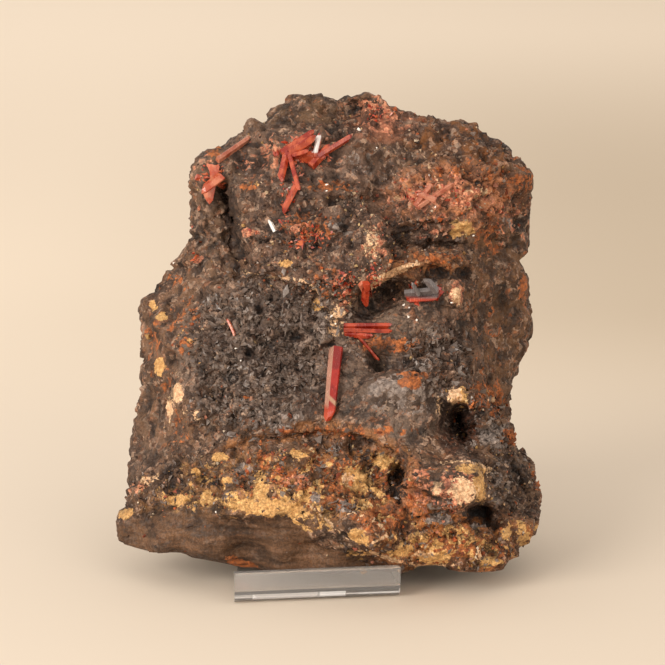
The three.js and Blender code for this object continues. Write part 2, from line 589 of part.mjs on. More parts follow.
// The easel's side view is one band of sheet along a bent line, from the lip to the rear foot
function standOutline(grow) {
  const half = SHEET / 2 + grow;
  const lean = Math.tan(radians(LEAN));
  const restAt = (z) => SHELF_DEPTH + SHEET / 2 / Math.cos(radians(LEAN)) + z * lean;
  const crest = REST_HEIGHT - SHEET / 2;
  const splay = Math.atan2(SHELF_DEPTH + FOOT_REACH - restAt(crest) - 2 * BEND_RADIUS, crest);
  const line = [
    [SHEET / 2, LIP_HEIGHT + grow],
    [SHEET / 2, SHEET / 2],
    [restAt(SHEET / 2), SHEET / 2],
    [restAt(crest), crest],
    [restAt(crest) + 2 * BEND_RADIUS, crest - 1],
    [SHELF_DEPTH + FOOT_REACH, (SHEET / 2) * Math.sin(splay)],
  ].map(([y, z]) => new THREE.Vector2(y, z));
  const path = [line[0]];
  for (let n = 1; n + 1 < line.length; n += 1) {
    const before = line[n - 1].clone().sub(line[n]);
    const after = line[n + 1].clone().sub(line[n]);
    const reach = Math.min(BEND_RADIUS, before.length() * 0.45, after.length() * 0.45);
    const start = line[n].clone().addScaledVector(before.normalize(), reach);
    const end = line[n].clone().addScaledVector(after.normalize(), reach);
    const bend = new THREE.QuadraticBezierCurve(start, line[n], end);
    path.push(...bend.getPoints(4));
  }
  path.push(line[line.length - 1]);
  const edge = (side) => path.map((point, n) => {
    const ahead = path[Math.min(n + 1, path.length - 1)];
    const behind = path[Math.max(n - 1, 0)];
    const along = ahead.clone().sub(behind).normalize();
    return new THREE.Vector2(point.x - side * along.y * half, point.y + side * along.x * half);
  });
  return [...edge(1), ...edge(-1).reverse()];
}

// The easel in its own frame, as a solid: its side view drawn out to its width, with tapered sides
function standSolid(grow = 0) {
  const width = STAND_WIDTH + 2 * grow;
  const sheet = new THREE.ExtrudeGeometry(
    new THREE.Shape(standOutline(grow)),
    { depth: width, bevelEnabled: false },
  );
  // From side view (depth, height) to the easel's frame
  const toStand = new THREE.Matrix4().makeBasis(
    new THREE.Vector3(0, 1, 0),
    new THREE.Vector3(0, 0, 1),
    new THREE.Vector3(1, 0, 0),
  ).setPosition(-width / 2, 0, 0);
  const length = SHELF_DEPTH + FOOT_REACH + SHEET;
  const narrow = width / 2 - length * Math.tan(radians(STAND_TAPER));
  const plan = [
    [-width / 2, -SHEET], [width / 2, -SHEET], [width / 2, SHEET],
    [narrow, SHEET + length], [-narrow, SHEET + length], [-width / 2, SHEET],
  ].map(([x, y]) => new THREE.Vector2(x, y));
  const taper = new THREE.ExtrudeGeometry(
    new THREE.Shape(plan),
    { depth: REST_HEIGHT + 2 * SHEET, bevelEnabled: false },
  ).translate(0, 0, -SHEET);
  return toSolid(sheet.applyMatrix4(toStand)).intersect(toSolid(taper));
}

const finish = {
  rock: { color: 0x54483f, roughness: 0.85, metalness: 0.05 },
  crocoite: { color: 0xb8341c, roughness: 0.28, metalness: 0 },
  palePrism: { color: 0xe8ddd2, roughness: 0.2, metalness: 0 },
  acrylic: { color: 0xf2f4f3, roughness: 0.05, metalness: 0, transparent: true, opacity: 0.35 },
};

function piece(name, geometry, look) {
  const mesh = new THREE.Mesh(geometry, new THREE.MeshStandardMaterial(look));
  mesh.name = name;
  return mesh;
}

const clusters = Object.entries(CRYSTALS);
const sockets = clusters.flatMap(([, crystals]) => crystals.map((one) => prism(one, SOCKET_GAP)));
const standInFace = toGeometry(standSolid(ROCK_GAP)).applyMatrix4(faceToStand.clone().invert());
const rock = [...sockets, standInFace].reduce(
  (solid, cutter) => solid.subtract(toSolid(cutter)),
  toSolid(faceField(rockField)),
);

const face = new THREE.Group();
face.position.z = FACE_HEIGHT;
face.rotation.x = radians(90 - LEAN);
face.add(piece("matrix", toGeometry(wholeBody(rock)), finish.rock));
clusters.forEach(([name, crystals]) => {
  const look = name === "white_prism" ? finish.palePrism : finish.crocoite;
  face.add(piece(name, toGeometry(join(crystals.map((one) => prism(one)))), look));
});

const easel = new THREE.Group();
easel.position.set(LIP_MIDDLE[0], LIP_MIDDLE[1], 0);
easel.rotation.z = radians(STAND_TURN);
easel.add(piece("easel_stand", toGeometry(standSolid()), finish.acrylic));

// The origin is the middle of the whole object's footprint, on the table
const specimen = new THREE.Group();
specimen.add(face, easel);
specimen.updateMatrixWorld(true);
const box = new THREE.Box3().setFromObject(specimen, true);
const object = new THREE.Group();
specimen.position.set(-(box.min.x + box.max.x) / 2, -(box.min.y + box.max.y) / 2, -box.min.z);
object.add(specimen);

export default object;
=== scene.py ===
"""The looks of a crocoite specimen: rock relief and stains, crystals, grains and a clear easel."""
import math

import bmesh
import bpy
import numpy as np
from mathutils import Matrix, Quaternion, Vector
from mathutils.kdtree import KDTree


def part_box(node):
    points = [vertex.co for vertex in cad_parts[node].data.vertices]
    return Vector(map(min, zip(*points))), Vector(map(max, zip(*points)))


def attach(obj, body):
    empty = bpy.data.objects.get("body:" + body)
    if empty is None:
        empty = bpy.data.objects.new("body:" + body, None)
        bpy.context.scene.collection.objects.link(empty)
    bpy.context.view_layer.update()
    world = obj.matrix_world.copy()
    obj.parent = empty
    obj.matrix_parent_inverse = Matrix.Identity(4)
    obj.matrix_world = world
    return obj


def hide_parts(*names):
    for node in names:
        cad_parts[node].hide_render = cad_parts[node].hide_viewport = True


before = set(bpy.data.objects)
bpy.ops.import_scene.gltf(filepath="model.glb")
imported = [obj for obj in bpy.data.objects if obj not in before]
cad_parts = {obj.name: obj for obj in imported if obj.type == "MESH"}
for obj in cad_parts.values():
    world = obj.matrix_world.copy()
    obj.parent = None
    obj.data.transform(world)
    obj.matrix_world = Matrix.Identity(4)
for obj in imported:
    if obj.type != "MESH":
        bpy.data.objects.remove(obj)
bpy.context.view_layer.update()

MM = 0.001

# How the rock's face stands in the part's frame, as the solids have it
LEAN = math.radians(12)
VIEW_DISTANCE = 620.0
PICTURE_WIDTH = 152.95  # of the view, at the face's middle

# The rock's mesh
VOXEL = 1.05 * MM
FRONT_FACING = 0.02  # faces turned to the viewer by more than this get the finer mesh

CRYSTALS = [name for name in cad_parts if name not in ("matrix", "easel_stand")]


def srgb(red, green, blue):
    """A colour named by its screen values, 0 to 255, as the shader wants it."""
    def linear(value):
        value /= 255
        return value / 12.92 if value <= 0.04045 else ((value + 0.055) / 1.055) ** 2.4
    return (linear(red), linear(green), linear(blue), 1)


def srgb_rows(*tones):
    """Screen colours as rows of red, green and blue, as the shader wants them."""
    return np.array([srgb(*tone)[:3] for tone in tones])


def new_object(name, data):
    item = bpy.data.objects.new(name, data)
    bpy.context.scene.collection.objects.link(item)
    return item


# Camera

ACROSS = Vector((1, 0, 0))
UP_FACE = Vector((0, math.sin(LEAN), math.cos(LEAN)))
TO_VIEWER = Vector((0, -math.cos(LEAN), math.sin(LEAN)))
MIDDLE = Vector((0.23, -2.97, 53.91)) * MM  # of the face
EYE = MIDDLE + TO_VIEWER * VIEW_DISTANCE * MM


def make_camera():
    data = bpy.data.cameras.new("camera")
    data.lens = data.sensor_width * VIEW_DISTANCE / PICTURE_WIDTH
    camera = new_object("camera", data)
    turn = Matrix((ACROSS, UP_FACE, TO_VIEWER)).transposed().to_4x4()
    camera.matrix_world = Matrix.Translation(EYE) @ turn
    bpy.context.scene.camera = camera


def face_places(points):
    """Points in metres to [across, up] as seen, and depth towards the viewer, all in millimetres."""
    local = (points - MIDDLE) / MM
    across, up, depth = (local @ axis for axis in (ACROSS, UP_FACE, TO_VIEWER))
    spread = VIEW_DISTANCE / (VIEW_DISTANCE - depth)
    return across * spread, up * spread, depth


# Repeatable noise on arrays of points, in millimetres

def lattice(cell, seed):
    """A number from 0 to 1 for each whole place, always the same for the same seed."""
    with np.errstate(over="ignore"):
        i, j, k = (cell[:, n].astype(np.int64).astype(np.uint32) for n in range(3))
        mixed = i * np.uint32(374761393) + j * np.uint32(668265263) + k * np.uint32(2246822519)
        mixed = mixed + np.uint32(seed * 3266489 + 7)
        mixed = (mixed ^ (mixed >> np.uint32(13))) * np.uint32(1274126177)
        mixed = (mixed ^ (mixed >> np.uint32(15))) * np.uint32(2654435761)
    return (mixed ^ (mixed >> np.uint32(16))).astype(np.float64) / 4294967296.0


def smooth_noise(points, size, seed):
    at = points / size
    low = np.floor(at)
    part = at - low
    part = part * part * (3 - 2 * part)
    total = np.zeros(len(points))
    for corner in np.ndindex(2, 2, 2):
        share = np.prod(np.where(corner, part, 1 - part), axis=1)
        total += share * lattice(low + corner, seed)
    return total * 2 - 1


def fractal(points, size, octaves, seed):
    total = np.zeros(len(points))
    for octave in range(octaves):
        total += smooth_noise(points + 13.7 * octave, size / 2 ** octave, seed + octave) / 2 ** octave
    return total


def chips(points, size, seed):
    """Broken, flat-faced relief: each cell is a plane with its own tilt. Gives height, and edge distance."""
    at = points / size
    low = np.floor(at)
    nearest = second = np.full(len(at), 9.0)
    height = np.zeros(len(at))
    for step in np.ndindex(3, 3, 3):
        cell = low + step - 1
        middle, tilt = (
            np.stack([lattice(cell, first + n) for n in range(3)], axis=1) for first in (seed, seed + 5)
        )
        away = at - cell - middle
        distance = np.linalg.norm(away, axis=1)
        plane = (away * (tilt - 0.5)).sum(axis=1) * 2 + (lattice(cell, seed + 9) - 0.5) * 0.7
        closer = distance < nearest
        second = np.where(closer, nearest, np.minimum(second, distance))
        height = np.where(closer, plane, height)
        nearest = np.where(closer, distance, nearest)
    return height, second - nearest


def smoothstep(low, high, value):
    share = np.clip((value - low) / (high - low), 0, 1)
    return share * share * (3 - 2 * share)


def near_path(path, x, y):
    """Distance from points to a path, and which side they are on: 1 above it, -1 below."""
    distance = np.full(len(x), 1e9)
    above = np.zeros(len(x))
    for (ax, ay), (bx, by) in zip(path, path[1:]):
        dx, dy = bx - ax, by - ay
        along = np.clip(((x - ax) * dx + (y - ay) * dy) / (dx * dx + dy * dy), 0, 1)
        ex, ey = x - ax - dx * along, y - ay - dy * along
        here = np.hypot(ex, ey)
        closer = here < distance
        above = np.where(closer, np.sign(dx * ey - dy * ex), above)
        distance = np.where(closer, here, distance)
    return distance, above


def patch(x, y, blob, spread=1, margin=0):
    """How far inside a blob each point is: 1 in its middle, 0 from its rim outwards."""
    across, up, width, height = blob[:4]
    turn = math.radians(blob[4]) if len(blob) > 4 else 0
    dx, dy = x - across, y - up
    rx = dx * math.cos(turn) + dy * math.sin(turn)
    ry = dy * math.cos(turn) - dx * math.sin(turn)
    return np.clip(1.25 - np.hypot(rx / (width * spread + margin), ry / (height * spread + margin)), 0, 1)


# A blob is an oval on the face, in millimetres as seen: across, up, half width, half height, turn if any
# Stains on the face, and under dark the painted shade of its holes and clefts: (strength, *blob)
STAINS_AND_SHADE = {
    "ochre": [
        (1, -25.8, -28.6, 2.2, 1.1, 15), (1, -31.5, -32, 1.6, 1), (1, -29.5, -34, 2, 1),
        (1, -24, -34.3, 1.6, 1.6), (1, -35.5, -38.5, 2.6, 1.5, 10), (0.9, -29, -38, 2, 2),
        (1, -16.5, -36.5, 1.8, 3), (1, -14, -40.2, 8.5, 2, -4), (1, -7, -37.5, 2, 1.4),
        (0.9, -47.5, -41.5, 2.4, 1.4, 15), (1, 12, -30, 3.2, 2, -20), (1, 5, -34, 4, 3.6),
        (0.8, -7.5, -27.4, 3, 1.3, 10), (0.8, -1, -30.4, 1.6, 1), (0.85, -12.6, -33.6, 1.3, 1),
        (1, 6.2, -46.8, 2.8, 2.2, -20), (1, 16.5, -49.8, 2.8, 2), (0.9, 24, -51.8, 6, 2.4, 4),
        (0.9, 36.5, -52.8, 3, 1.2), (1, 40.5, -46, 2, 1.6), (0.75, 43, -46.5, 4.4, 3.6),
        (0.75, 34, -35.4, 1.8, 4.4), (0.7, 31, -31.4, 4.4, 1.5), (0.65, 28.5, -14.8, 2.6, 3),
        (0.9, -10.5, 16, 2, 1), (0.9, -3.5, 6.5, 1.6, 1.8), (1, -17.5, 34.3, 1, 1), (1, 28.3, 23, 1.4, 1.2),
        (0.7, 30, 24, 3.4, 1.8), (0.75, -33, -1.5, 2.6, 2.2), (0.9, -41.3, 6.2, 1.2, 1.6),
        (0.9, -39, 3.6, 1.4, 1), (0.8, -39.5, -8, 1.4, 2), (0.26, -20, -35, 22, 7), (0.42, 22, -49, 20, 5),
        (0.34, 2, -38, 14, 8),
    ],
    "rust": [
        (0.9, -15.5, -29, 2.4, 4), (1, -12.5, -31, 1.2, 1), (0.5, -38.5, -10, 2, 6), (0.85, 12, -42, 6, 4),
        (0.85, 27, -49, 8, 3.4), (0.7, 20, -38, 4, 6), (0.65, 36, -15, 5, 5), (0.5, -34, 2, 4, 8),
        (0.55, -41, -2, 2, 9), (0.7, 22, 16.3, 8, 2.4), (0.5, 36, 22, 5, 6), (0.8, 44, 10, 1.6, 4),
        (0.8, 45, 17, 2, 1.8), (0.75, 18, -10.5, 4, 2.4), (0.75, 13, -2.8, 8, 2), (0.55, -6, 24, 6, 5),
        (0.9, -27, 41.5, 2.2, 1.6), (0.9, -19.5, 33.5, 2, 1), (0.55, 0, 34, 5, 2), (0.5, -2, 12, 4, 4),
        (0.9, 14, 52, 1.4, 1), (0.4, -38, 11.5, 4, 2), (0.22, 36, -2, 10, 20), (0.42, 0, -35, 30, 9),
        (0.8, 41, -24, 2.2, 2), (0.7, 47.5, -34, 1.6, 3.6), (1, 38, -50.5, 2, 2),
        (1, -21, -53, 4, 1.2, -20), (0.5, 0, -22.8, 18, 1.6), (0.42, 33, 34, 16, 8), (0.4, -35, -22, 3, 6),
        (0.6, 44, 34, 3, 5),
    ],
    "salmon": [
        (0.55, 26, 31, 15, 6), (0.85, 20, 31.3, 3, 2.6), (0.75, 27, 32, 3.2, 2.8), (0.55, 34, 31, 7, 4),
        (0.6, 12.5, 48, 6, 3), (0.6, 9, 52.5, 6.5, 2.4), (0.8, -19, 23, 2, 1), (0.7, -8.5, 23.5, 2, 1.6),
        (0.5, 0, 12, 5, 3), (0.8, 28.5, 9.5, 1.8, 3), (0.5, 20.5, -36, 3.4, 6), (0.72, 28.6, -36, 5.6, 6),
        (0.5, 3, 7, 2, 5), (0.45, -9, -34.5, 4, 1.6), (0.55, -44, -35.5, 3, 1.6, 10), (0.4, -30, 40, 4, 3),
        (0.34, -15, 40, 8, 6), (0.8, -31, 17, 1.2, 1.2), (0.4, 22, 23.5, 6, 3), (0.42, 10, 20, 4, 8),
        (0.3, -4, 42, 10, 6), (0.34, 40, 27, 5, 8),
    ],
    "cream": [
        (1, -35.6, -14, 1.7, 2.7), (0.9, -37.5, -18, 0.8, 3.4), (0.8, -31, -19, 1.2, 1.5),
        (0.85, 28, -14.6, 2, 2.4), (0.72, 30.2, -36.6, 3.6, 4), (0.55, 24, -36, 1.6, 2.4),
        (0.45, -17, 13, 4, 0.7, -6), (0.45, -8, 12, 4, 0.7, -8), (0.85, 15, 14.3, 6.4, 0.9, 20),
        (0.75, 28.5, 8.5, 1.4, 2.6), (0.35, 23, 42, 3.6, 0.7, -50), (0.6, 1, 4, 3, 2.6),
        (0.5, 9.5, 21, 3.4, 6), (0.6, 20.5, -51, 4, 1.6), (0.7, 3.6, -34, 2.2, 2.6), (0.62, 0, 0.6, 2.8, 2),
        (0.8, 36.5, -15.4, 1.2, 0.9), (0.7, 34, -51, 1.4, 1.4), (0.6, -42, -34, 2.8, 1.3, 20),
        (0.5, 24.5, -16.5, 1.2, 3), (0.9, 15, 31, 1, 0.8), (0.36, 33, 32, 6, 3), (0.38, -36, -16, 3.5, 8),
    ],
    "grey": [
        (0.8, 10, -12.8, 4, 2.6), (0.8, 21, -7.5, 4, 1.6), (0.5, 16, -13, 9, 6), (0.7, -18, 4, 1.6, 4),
        (0.85, -2.4, 0.2, 1.2, 4), (0.8, 23, 0.8, 2, 2), (0.9, 36, -23.3, 5, 4), (0.8, 22.5, 11, 2, 1.6),
        (0.5, -12, -20, 8, 5), (0.9, 3, -40, 3, 2), (0.8, 24.5, -43, 3.4, 1.8), (0.8, -20, -32, 3, 1.8),
        (0.75, -24.4, -37.6, 2.4, 1.2), (0.85, -4, -38, 1.8, 1.8), (0.8, 0.2, -26.6, 1.6, 1),
        (0.7, 34, -43.5, 3, 2), (0.9, 35, -51, 1.6, 1.6), (0.5, 40, -34, 7, 6), (0.7, 2, 24.5, 3, 2),
        (0.6, 40.5, 26, 2.4, 2), (0.34, -10, -4, 18, 14), (0.3, 5, 40, 5, 5),
    ],
    # dark: the rock's dark patches, and painted shade in its holes and clefts
    "dark": [
        (0.62, 29, -22, 4.2, 5.4), (0.6, 15, -35.5, 3, 4.6), (0.95, 33, -41.5, 3.6, 2.6),
        (0.75, -37, -33, 4, 3.6), (0.8, 13, 9.6, 5.4, 2.4, 15), (0.95, 24.6, 13.4, 2.6, 1.6),
        (0.95, 30, 13.6, 2, 1.6), (1, -8.6, -1.3, 3.2, 1, 8), (1, -0.3, -2.8, 2.4, 0.9),
        (1, -19.3, -5.2, 2, 0.8, -15), (1, -17.2, 5.7, 1.6, 1.2), (0.95, 3, 24.4, 1.8, 1.2),
        (1, -10, 35.2, 0.8, 0.9), (0.85, 7, 4.5, 2.6, 2.4), (0.9, 17, -6.8, 4.6, 1.2),
        (0.7, 23.5, -3, 2.6, 2), (0.85, -23, 27, 1.7, 8.5, 8), (0.75, -21.5, 16, 1.4, 4.5, -20),
        (0.7, 5, 51, 2, 2.4), (0.55, 34.5, 45.5, 5, 2), (0.5, -15, -4, 16, 12), (0.5, 42.5, -34, 5, 8),
        (0.55, 17, 24, 6, 4), (0.7, -26, 36.5, 2, 1), (0.8, 7.4, -28.8, 2, 1.2), (0.4, 4, -40.5, 3, 1.6),
        (0.6, -28, -34.5, 3, 2), (0.6, -34.5, -36.5, 2.4, 1.2), (1, 33.4, 34.5, 0.8, 0.6),
        (0.9, -19, 43.2, 2.6, 0.8),
    ],
}
# Thin pale rims along the edges of plates and crusts: (path, half width, strength)
PALE_RIMS = [
    ([(8.5, 10), (11.5, 12.2), (14.5, 13.8), (17.5, 15.2)], 0.75, 1),
    ([(-20.5, 14), (-17.5, 13.2), (-14.5, 12.6), (-9.5, 12.4), (-7, 12), (-5, 10.8), (-3, 9)], 0.42, 0.65),
    ([(19, 44.3), (21.3, 39.8), (23.5, 36.2), (25, 33)], 0.4, 0.5),
    ([(3, -42), (5, -41.4), (8, -42.4), (11.5, -44.6), (12.6, -47), (9, -48.4)], 0.36, 0.75),
    ([(-5.5, -39.5), (-2, -42.5), (1, -45.5), (4, -48)], 0.36, 0.55),
    ([(9, -50.5), (14, -52.4), (22, -54), (28, -53.4)], 0.5, 0.7),
    ([(-32, 0), (-28, 1.5), (-24.5, 2.2)], 0.35, 0.5),
    ([(25, -30), (31, -29.6), (35.5, -31), (36.4, -36), (34.5, -40.5)], 0.45, 0.45),
]
UNDERSIDE_EDGE = [
    (-50, -43.5), (-44, -42.5), (-38.5, -39.5), (-30.5, -40), (-27, -42), (-21, -43.5), (-14, -42.5),
    (-9.5, -42), (-6, -44.5), (-4.5, -47.5), (-0.5, -49.5), (6.5, -51.5), (12, -53), (25, -54.5), (46, -57),
]

# What the solid is too coarse for: (how far it stands out, *blob)
HOLLOWS = [
    (-2.6, -8.8, -1.2, 2, 1.1), (-2, -0.8, -2.8, 1.3, 0.8), (-1.8, -19.6, -5, 1.4, 0.9),
    (-1.6, -17.3, 6.2, 1.3, 0.8), (-2.4, 8, 4.6, 3, 3), (-1.8, 3.2, 24.4, 1.4, 1),
    (-1.6, -10, 35.2, 0.8, 0.9), (-1.4, 33.4, 34.5, 0.9, 0.7), (-3, -23, 26.5, 1.3, 8, 8),
    (-1.6, -21, 16, 1.1, 4, -20), (-1.6, 34.5, 45.8, 4.5, 1.4, -18), (-1.8, 4.8, 51.4, 1.8, 2.2),
    (-1.6, 13, 9.4, 5, 2.2, 15), (-2.2, 24.6, 13.4, 2.4, 1.2), (-2, 30, 13.6, 1.6, 1.2),
    (-1.6, 17, 23, 5, 2.6), (-1.8, -37, -33, 4, 2.2, -38), (-1.2, -29, -36, 3.4, 1, 10),
    (-1.6, 4, -26.5, 5, 1.4, -12), (-2.2, 33, -41.4, 3, 1.8, 20),
]
KNOBS = [
    (4, -23, 27, 3.4, 8.5, 8), (3.5, 29, -22, 4, 5), (2.6, 15, -35.5, 3, 4.4), (0.9, -2.4, 0.2, 1.1, 3.6),
    (0.9, -18, 4, 1.3, 3.6), (1.1, 28, -14.6, 2.2, 2.6), (1, 7.6, -45.2, 4.4, 2.6, -30),
    (0.6, 10, -13, 3.4, 2), (0.9, -31, -19, 1.4, 1.5), (0.6, -35.6, -14, 1.6, 2.6), (1.2, 9.5, 20, 4, 7),
    (1.4, 28.6, 9.4, 1.6, 2.8), (1.2, 30.5, -36.5, 5, 5.6), (1.4, 36, -23.3, 4, 3.2),
    (1.1, -18, 46, 1.6, 2.6),
]
KNOB_SPREAD = 1.3  # how much wider than its mark each of them fades out
# Edges and cracks: (path, reach, how far the upper side stands out, how far the lower side does)
EDGES = [
    ([(8.5, 10), (11.5, 12), (14.5, 13.5), (17.5, 15), (22, 15.6)], 1.3, 1.2, -2.2),
    ([(-20.5, 14), (-15, 12.6), (-7.5, 12), (-5, 11), (-3, 9)], 1.2, 1, -2),
    ([(-25, -27), (-19, -24), (-12, -23.5), (-5, -22.5), (1.5, -22.5), (8.5, -24.5), (15.5, -28), (18, -33)],
     1.5, 0.9, -2),
    ([(10.5, -6.5), (15.5, -7.5), (18, -6.5), (21.5, -4)], 1, -0.4, -2),
    ([(3, -42), (7, -45), (12, -47.6)], 0.8, 0.9, -0.8),
    ([(15, 21.3), (20, 20.5), (22.5, 21.5), (27, 21), (30, 21.5)], 1.3, 0.6, -2.6),
    ([(31, 16), (30, 8), (27, -1), (30, -8), (32, -16)], 1.2, -1, 0.3),
    ([(5.2, 0), (10.9, -6.8)], 1.6, -3.6, -3.6),
    ([(-37, 8), (-38, -6), (-38.5, -18), (-37, -29)], 1.2, 0.5, -0.6),
    ([(-14, 44), (-8, 43), (-1, 44.5), (3, 46)], 1.3, 0.8, -1.6),
]

# What the broken surface is like, as blobs by area
AREAS = {
    "plates": [(-15, -2, 18, 15), (-3, 4, 8, 8), (-20, -16, 12, 10), (24, -6, 8, 8)],
    "mound": [(14, -17, 11, 9), (10, -10, 8, 5), (14, 3, 9, 5)],
    "crumbs": [
        (-26, -34, 24, 6, 12), (2, -33, 18, 10), (24, -47, 22, 9), (42, -30, 8, 14), (33, -20, 8, 8),
    ],
    "crust": [(8, 20, 12, 12), (29, 30, 17, 9), (-6, 18, 14, 8), (22, 16, 10, 4)],
    "granular": [(-12, 34, 16, 14), (-27, 28, 7, 16), (10, 42, 22, 12), (34, 42, 14, 8)],
}
# Each kind of relief's strength in these areas and on the plain wall, in millimetres
RELIEF = {
    "lumps": (0.7, 0.4, 1.1, 0.9, 1, 0.5),
    "buds": (0.3, 0, 0.5, 0.45, 0.45, 0),
    "large chips": (0.8, 0.25, 1.5, 1.1, 0.9, 0.4),
    "middling chips": (0.9, 0.2, 0.9, 0.75, 0.5, 0.25),
    "small chips": (0.4, 0.08, 0.35, 0.3, 0.2, 0.1),
    "cracks": (0.7, 0, 0.8, 0.7, 0.5, 0.25),
}


def area(name, x, y):
    """How far each point belongs to an area, from 0 to 1."""
    return smoothstep(0, 0.6, np.maximum.reduce([patch(x, y, blob) for blob in AREAS[name]]))


def underside_share(x, y, rim):
    """1 below the face's lower edge and 0 above it, with a rim that fades over some millimetres."""
    distance, above = near_path(UNDERSIDE_EDGE, x, y)
    return np.where(above < 0, smoothstep(0, rim, distance), 0)


def relief(x, y, points, facing):
    """How far each point of the rock's skin moves out, in millimetres, and the fine part of that."""
    underside = underside_share(x, y, 2) * facing
    shares = {name: area(name, x, y) * facing * (1 - underside) for name in AREAS}
    shares["plates"] *= 1 - 0.8 * shares["mound"]
    shares["wall"] = np.clip(1 - np.maximum.reduce([*shares.values(), underside]), 0, 1)
    for_lumps, for_buds, for_large, for_middling, for_small, for_cracks = (
        np.array([*RELIEF.values()]) @ np.stack([*shares.values()])
    )

    # Pushed places keep the ridges from following the noise's lattice
    push = np.stack([smooth_noise(points, 3.4, seed) for seed in (101, 102, 103)], axis=1)
    lumps = 0.6 - np.abs(smooth_noise(points + 0.4 * push, 5.2, 19)) * 2.4
    buds = np.abs(smooth_noise(points, 2.6, 23)) * 2 - 0.7
    ridges = 1 - np.abs(fractal((points + 1.6 * push) * [1.5, 1, 0.9], 2.2, 2, 67)) * 2
    large, _ = chips(points, 4.6, 31)
    middling, gap = chips(points, 2.1, 47)
    small, _ = chips(points, 1.1, 53)
    crack = smoothstep(0.14, 0, gap) * smoothstep(-0.2, 0.3, smooth_noise(points, 5, 17))

    broad = 0.8 * fractal(points, 8, 2, 11) + lumps * for_lumps + buds * for_buds + large * for_large
    fine = middling * for_middling + small * for_small - crack * for_cracks
    fine += 0.75 * ridges * shares["plates"]
    fine += 0.5 * fractal(points * [0.25, 0.6, 1.6], 2.4, 3, 61) * underside
    fine += 0.3 * fractal(points * [1.5, 1.2, 0.35], 2.2, 3, 71) * shares["wall"]
    fine += 0.28 * fractal(points, 1.5, 2, 83) * (1 - 0.6 * underside)
    broad += (1.6 * large + 0.9 * fractal(points, 14, 3, 97)) * (1 - facing)
    for height, *blob in HOLLOWS + KNOBS:
        broad += height * facing * patch(x, y, blob, spread=KNOB_SPREAD)
    for path, reach, lift, drop in EDGES:
        distance, above = near_path(path, x, y)
        broad += np.where(above > 0, lift, drop) * smoothstep(reach, 0, distance) * facing
    return broad + fine, fine + 0.5 * (lumps + buds) * (1 - underside)


# The rock's own colour, with painted shade on the dome's shadowed right side and in a hole and a cleft:
# (blob, screen colour)
GROUNDS = [
    ((-15, -5, 18, 15), (118, 101, 90)), ((14, -16, 12, 9), (98, 82, 71)), ((14, 3, 9, 5), (112, 92, 77)),
    ((-8, 33, 20, 13), (98, 74, 60)), ((-27, 30, 6, 15), (104, 79, 60)), ((-8, 52, 9, 5), (90, 65, 44)),
    ((29, 44, 12, 5, -10), (114, 68, 30)), ((28, 31, 15, 7), (188, 122, 82)),
    ((12, 48, 8, 4), (136, 84, 60)), ((43.5, 27, 2.6, 7), (52, 34, 20)), ((38, 6, 8, 16), (108, 75, 48)),
    ((22, 15.8, 8, 3), (162, 108, 68)), ((-40, -10, 4, 20), (112, 82, 60)),
    ((-43, -30, 5, 8), (100, 77, 61)), ((-6, 20, 14, 9), (104, 76, 60)), ((27, -4, 7, 9), (106, 80, 64)),
    ((-25, -35, 18, 6, 10), (150, 106, 66)), ((4, -34, 14, 8), (160, 104, 56)),
    ((28, -48, 18, 7), (168, 102, 50)), ((42, -34, 5, 10), (108, 84, 66)),
    ((9.4, -44.6, 3.6, 2.4, -30), (150, 98, 66)), ((29, -22, 4.4, 5.6), (96, 54, 36)),
    ((33.4, -41.4, 3, 2), (56, 36, 26)), ((17, -35, 4, 6), (150, 94, 62)), ((18, 24, 6, 4), (92, 62, 42)),
    ((-23, 26, 2, 8, 8), (56, 40, 30)),
]
PLAIN_GROUND = (108, 79, 58)
ARCH = [
    (-26, -28), (-19, -24), (-12, -23.3), (-5, -22.3), (1.5, -22.3), (8.5, -24), (15.5, -27.6), (18, -33),
]
ARCH_TONE = (146, 98, 60)


def ground_colour(x, y, facing):
    """The rock's own colour at every point, with that painted shade, as the shader wants it."""
    total = np.full(len(x), 0.12)
    colour = np.outer(total, srgb(*PLAIN_GROUND)[:3])
    for blob, tone in GROUNDS:
        share = patch(x, y, blob) * facing
        colour += np.outer(share, srgb(*tone)[:3])
        total += share
    distance, above = near_path(ARCH, x, y)
    share = smoothstep(2.4, 0.6, distance) * np.where(above > 0, 1, 0.5) * facing * 3
    colour += np.outer(share, srgb(*ARCH_TONE)[:3])
    return colour / (total + share)[:, None]


# Blobs where cracks and grain are weaker
SOFT_AREAS = [(0, 42, 60, 17), (-27, 22, 8, 26), (-41, -8, 6, 36), (40, 8, 10, 26), (14, -16, 12, 10)]


def stain_and_shade_strengths(x, y, facing):
    """Each stain's strength, and that of the painted shade, at every point, from 0 to 1."""
    stains = {}
    for name, blobs in STAINS_AND_SHADE.items():
        total = np.zeros(len(x))
        for strength, *blob in blobs:
            total = np.maximum(total, patch(x, y, blob) ** 0.7 * strength)
        stains[name] = total * facing
    for path, half_width, strength in PALE_RIMS:
        distance, _ = near_path(path, x, y)
        rim = smoothstep(1.5 * half_width, 0.4 * half_width, distance) * strength
        stains["cream"] = np.maximum(stains["cream"], rim * facing)
    stains["underside"] = underside_share(x, y, 1.2) * facing
    stains["face"] = facing
    stains["soft"] = np.clip(sum(patch(x, y, blob) for blob in SOFT_AREAS), 0, 1) * facing
    return stains


def read_vectors(items, key):
    """One vector for each item, such as "co" for the vertices of a mesh."""
    flat = np.empty(len(items) * 3, np.float32)
    items.foreach_get(key, flat)
    return flat.reshape(-1, 3).astype(float)


# The colour layers that carry the stains and the painted shade and light to the rock's material
CHANNELS = {
    "stain_a": ("ochre", "rust", "salmon"),
    "stain_and_shade_b": ("cream", "grey", "dark"),
    "stain_and_shade_c": ("underside", "face", "tone"),
    "stain_d": ("soft",),
}


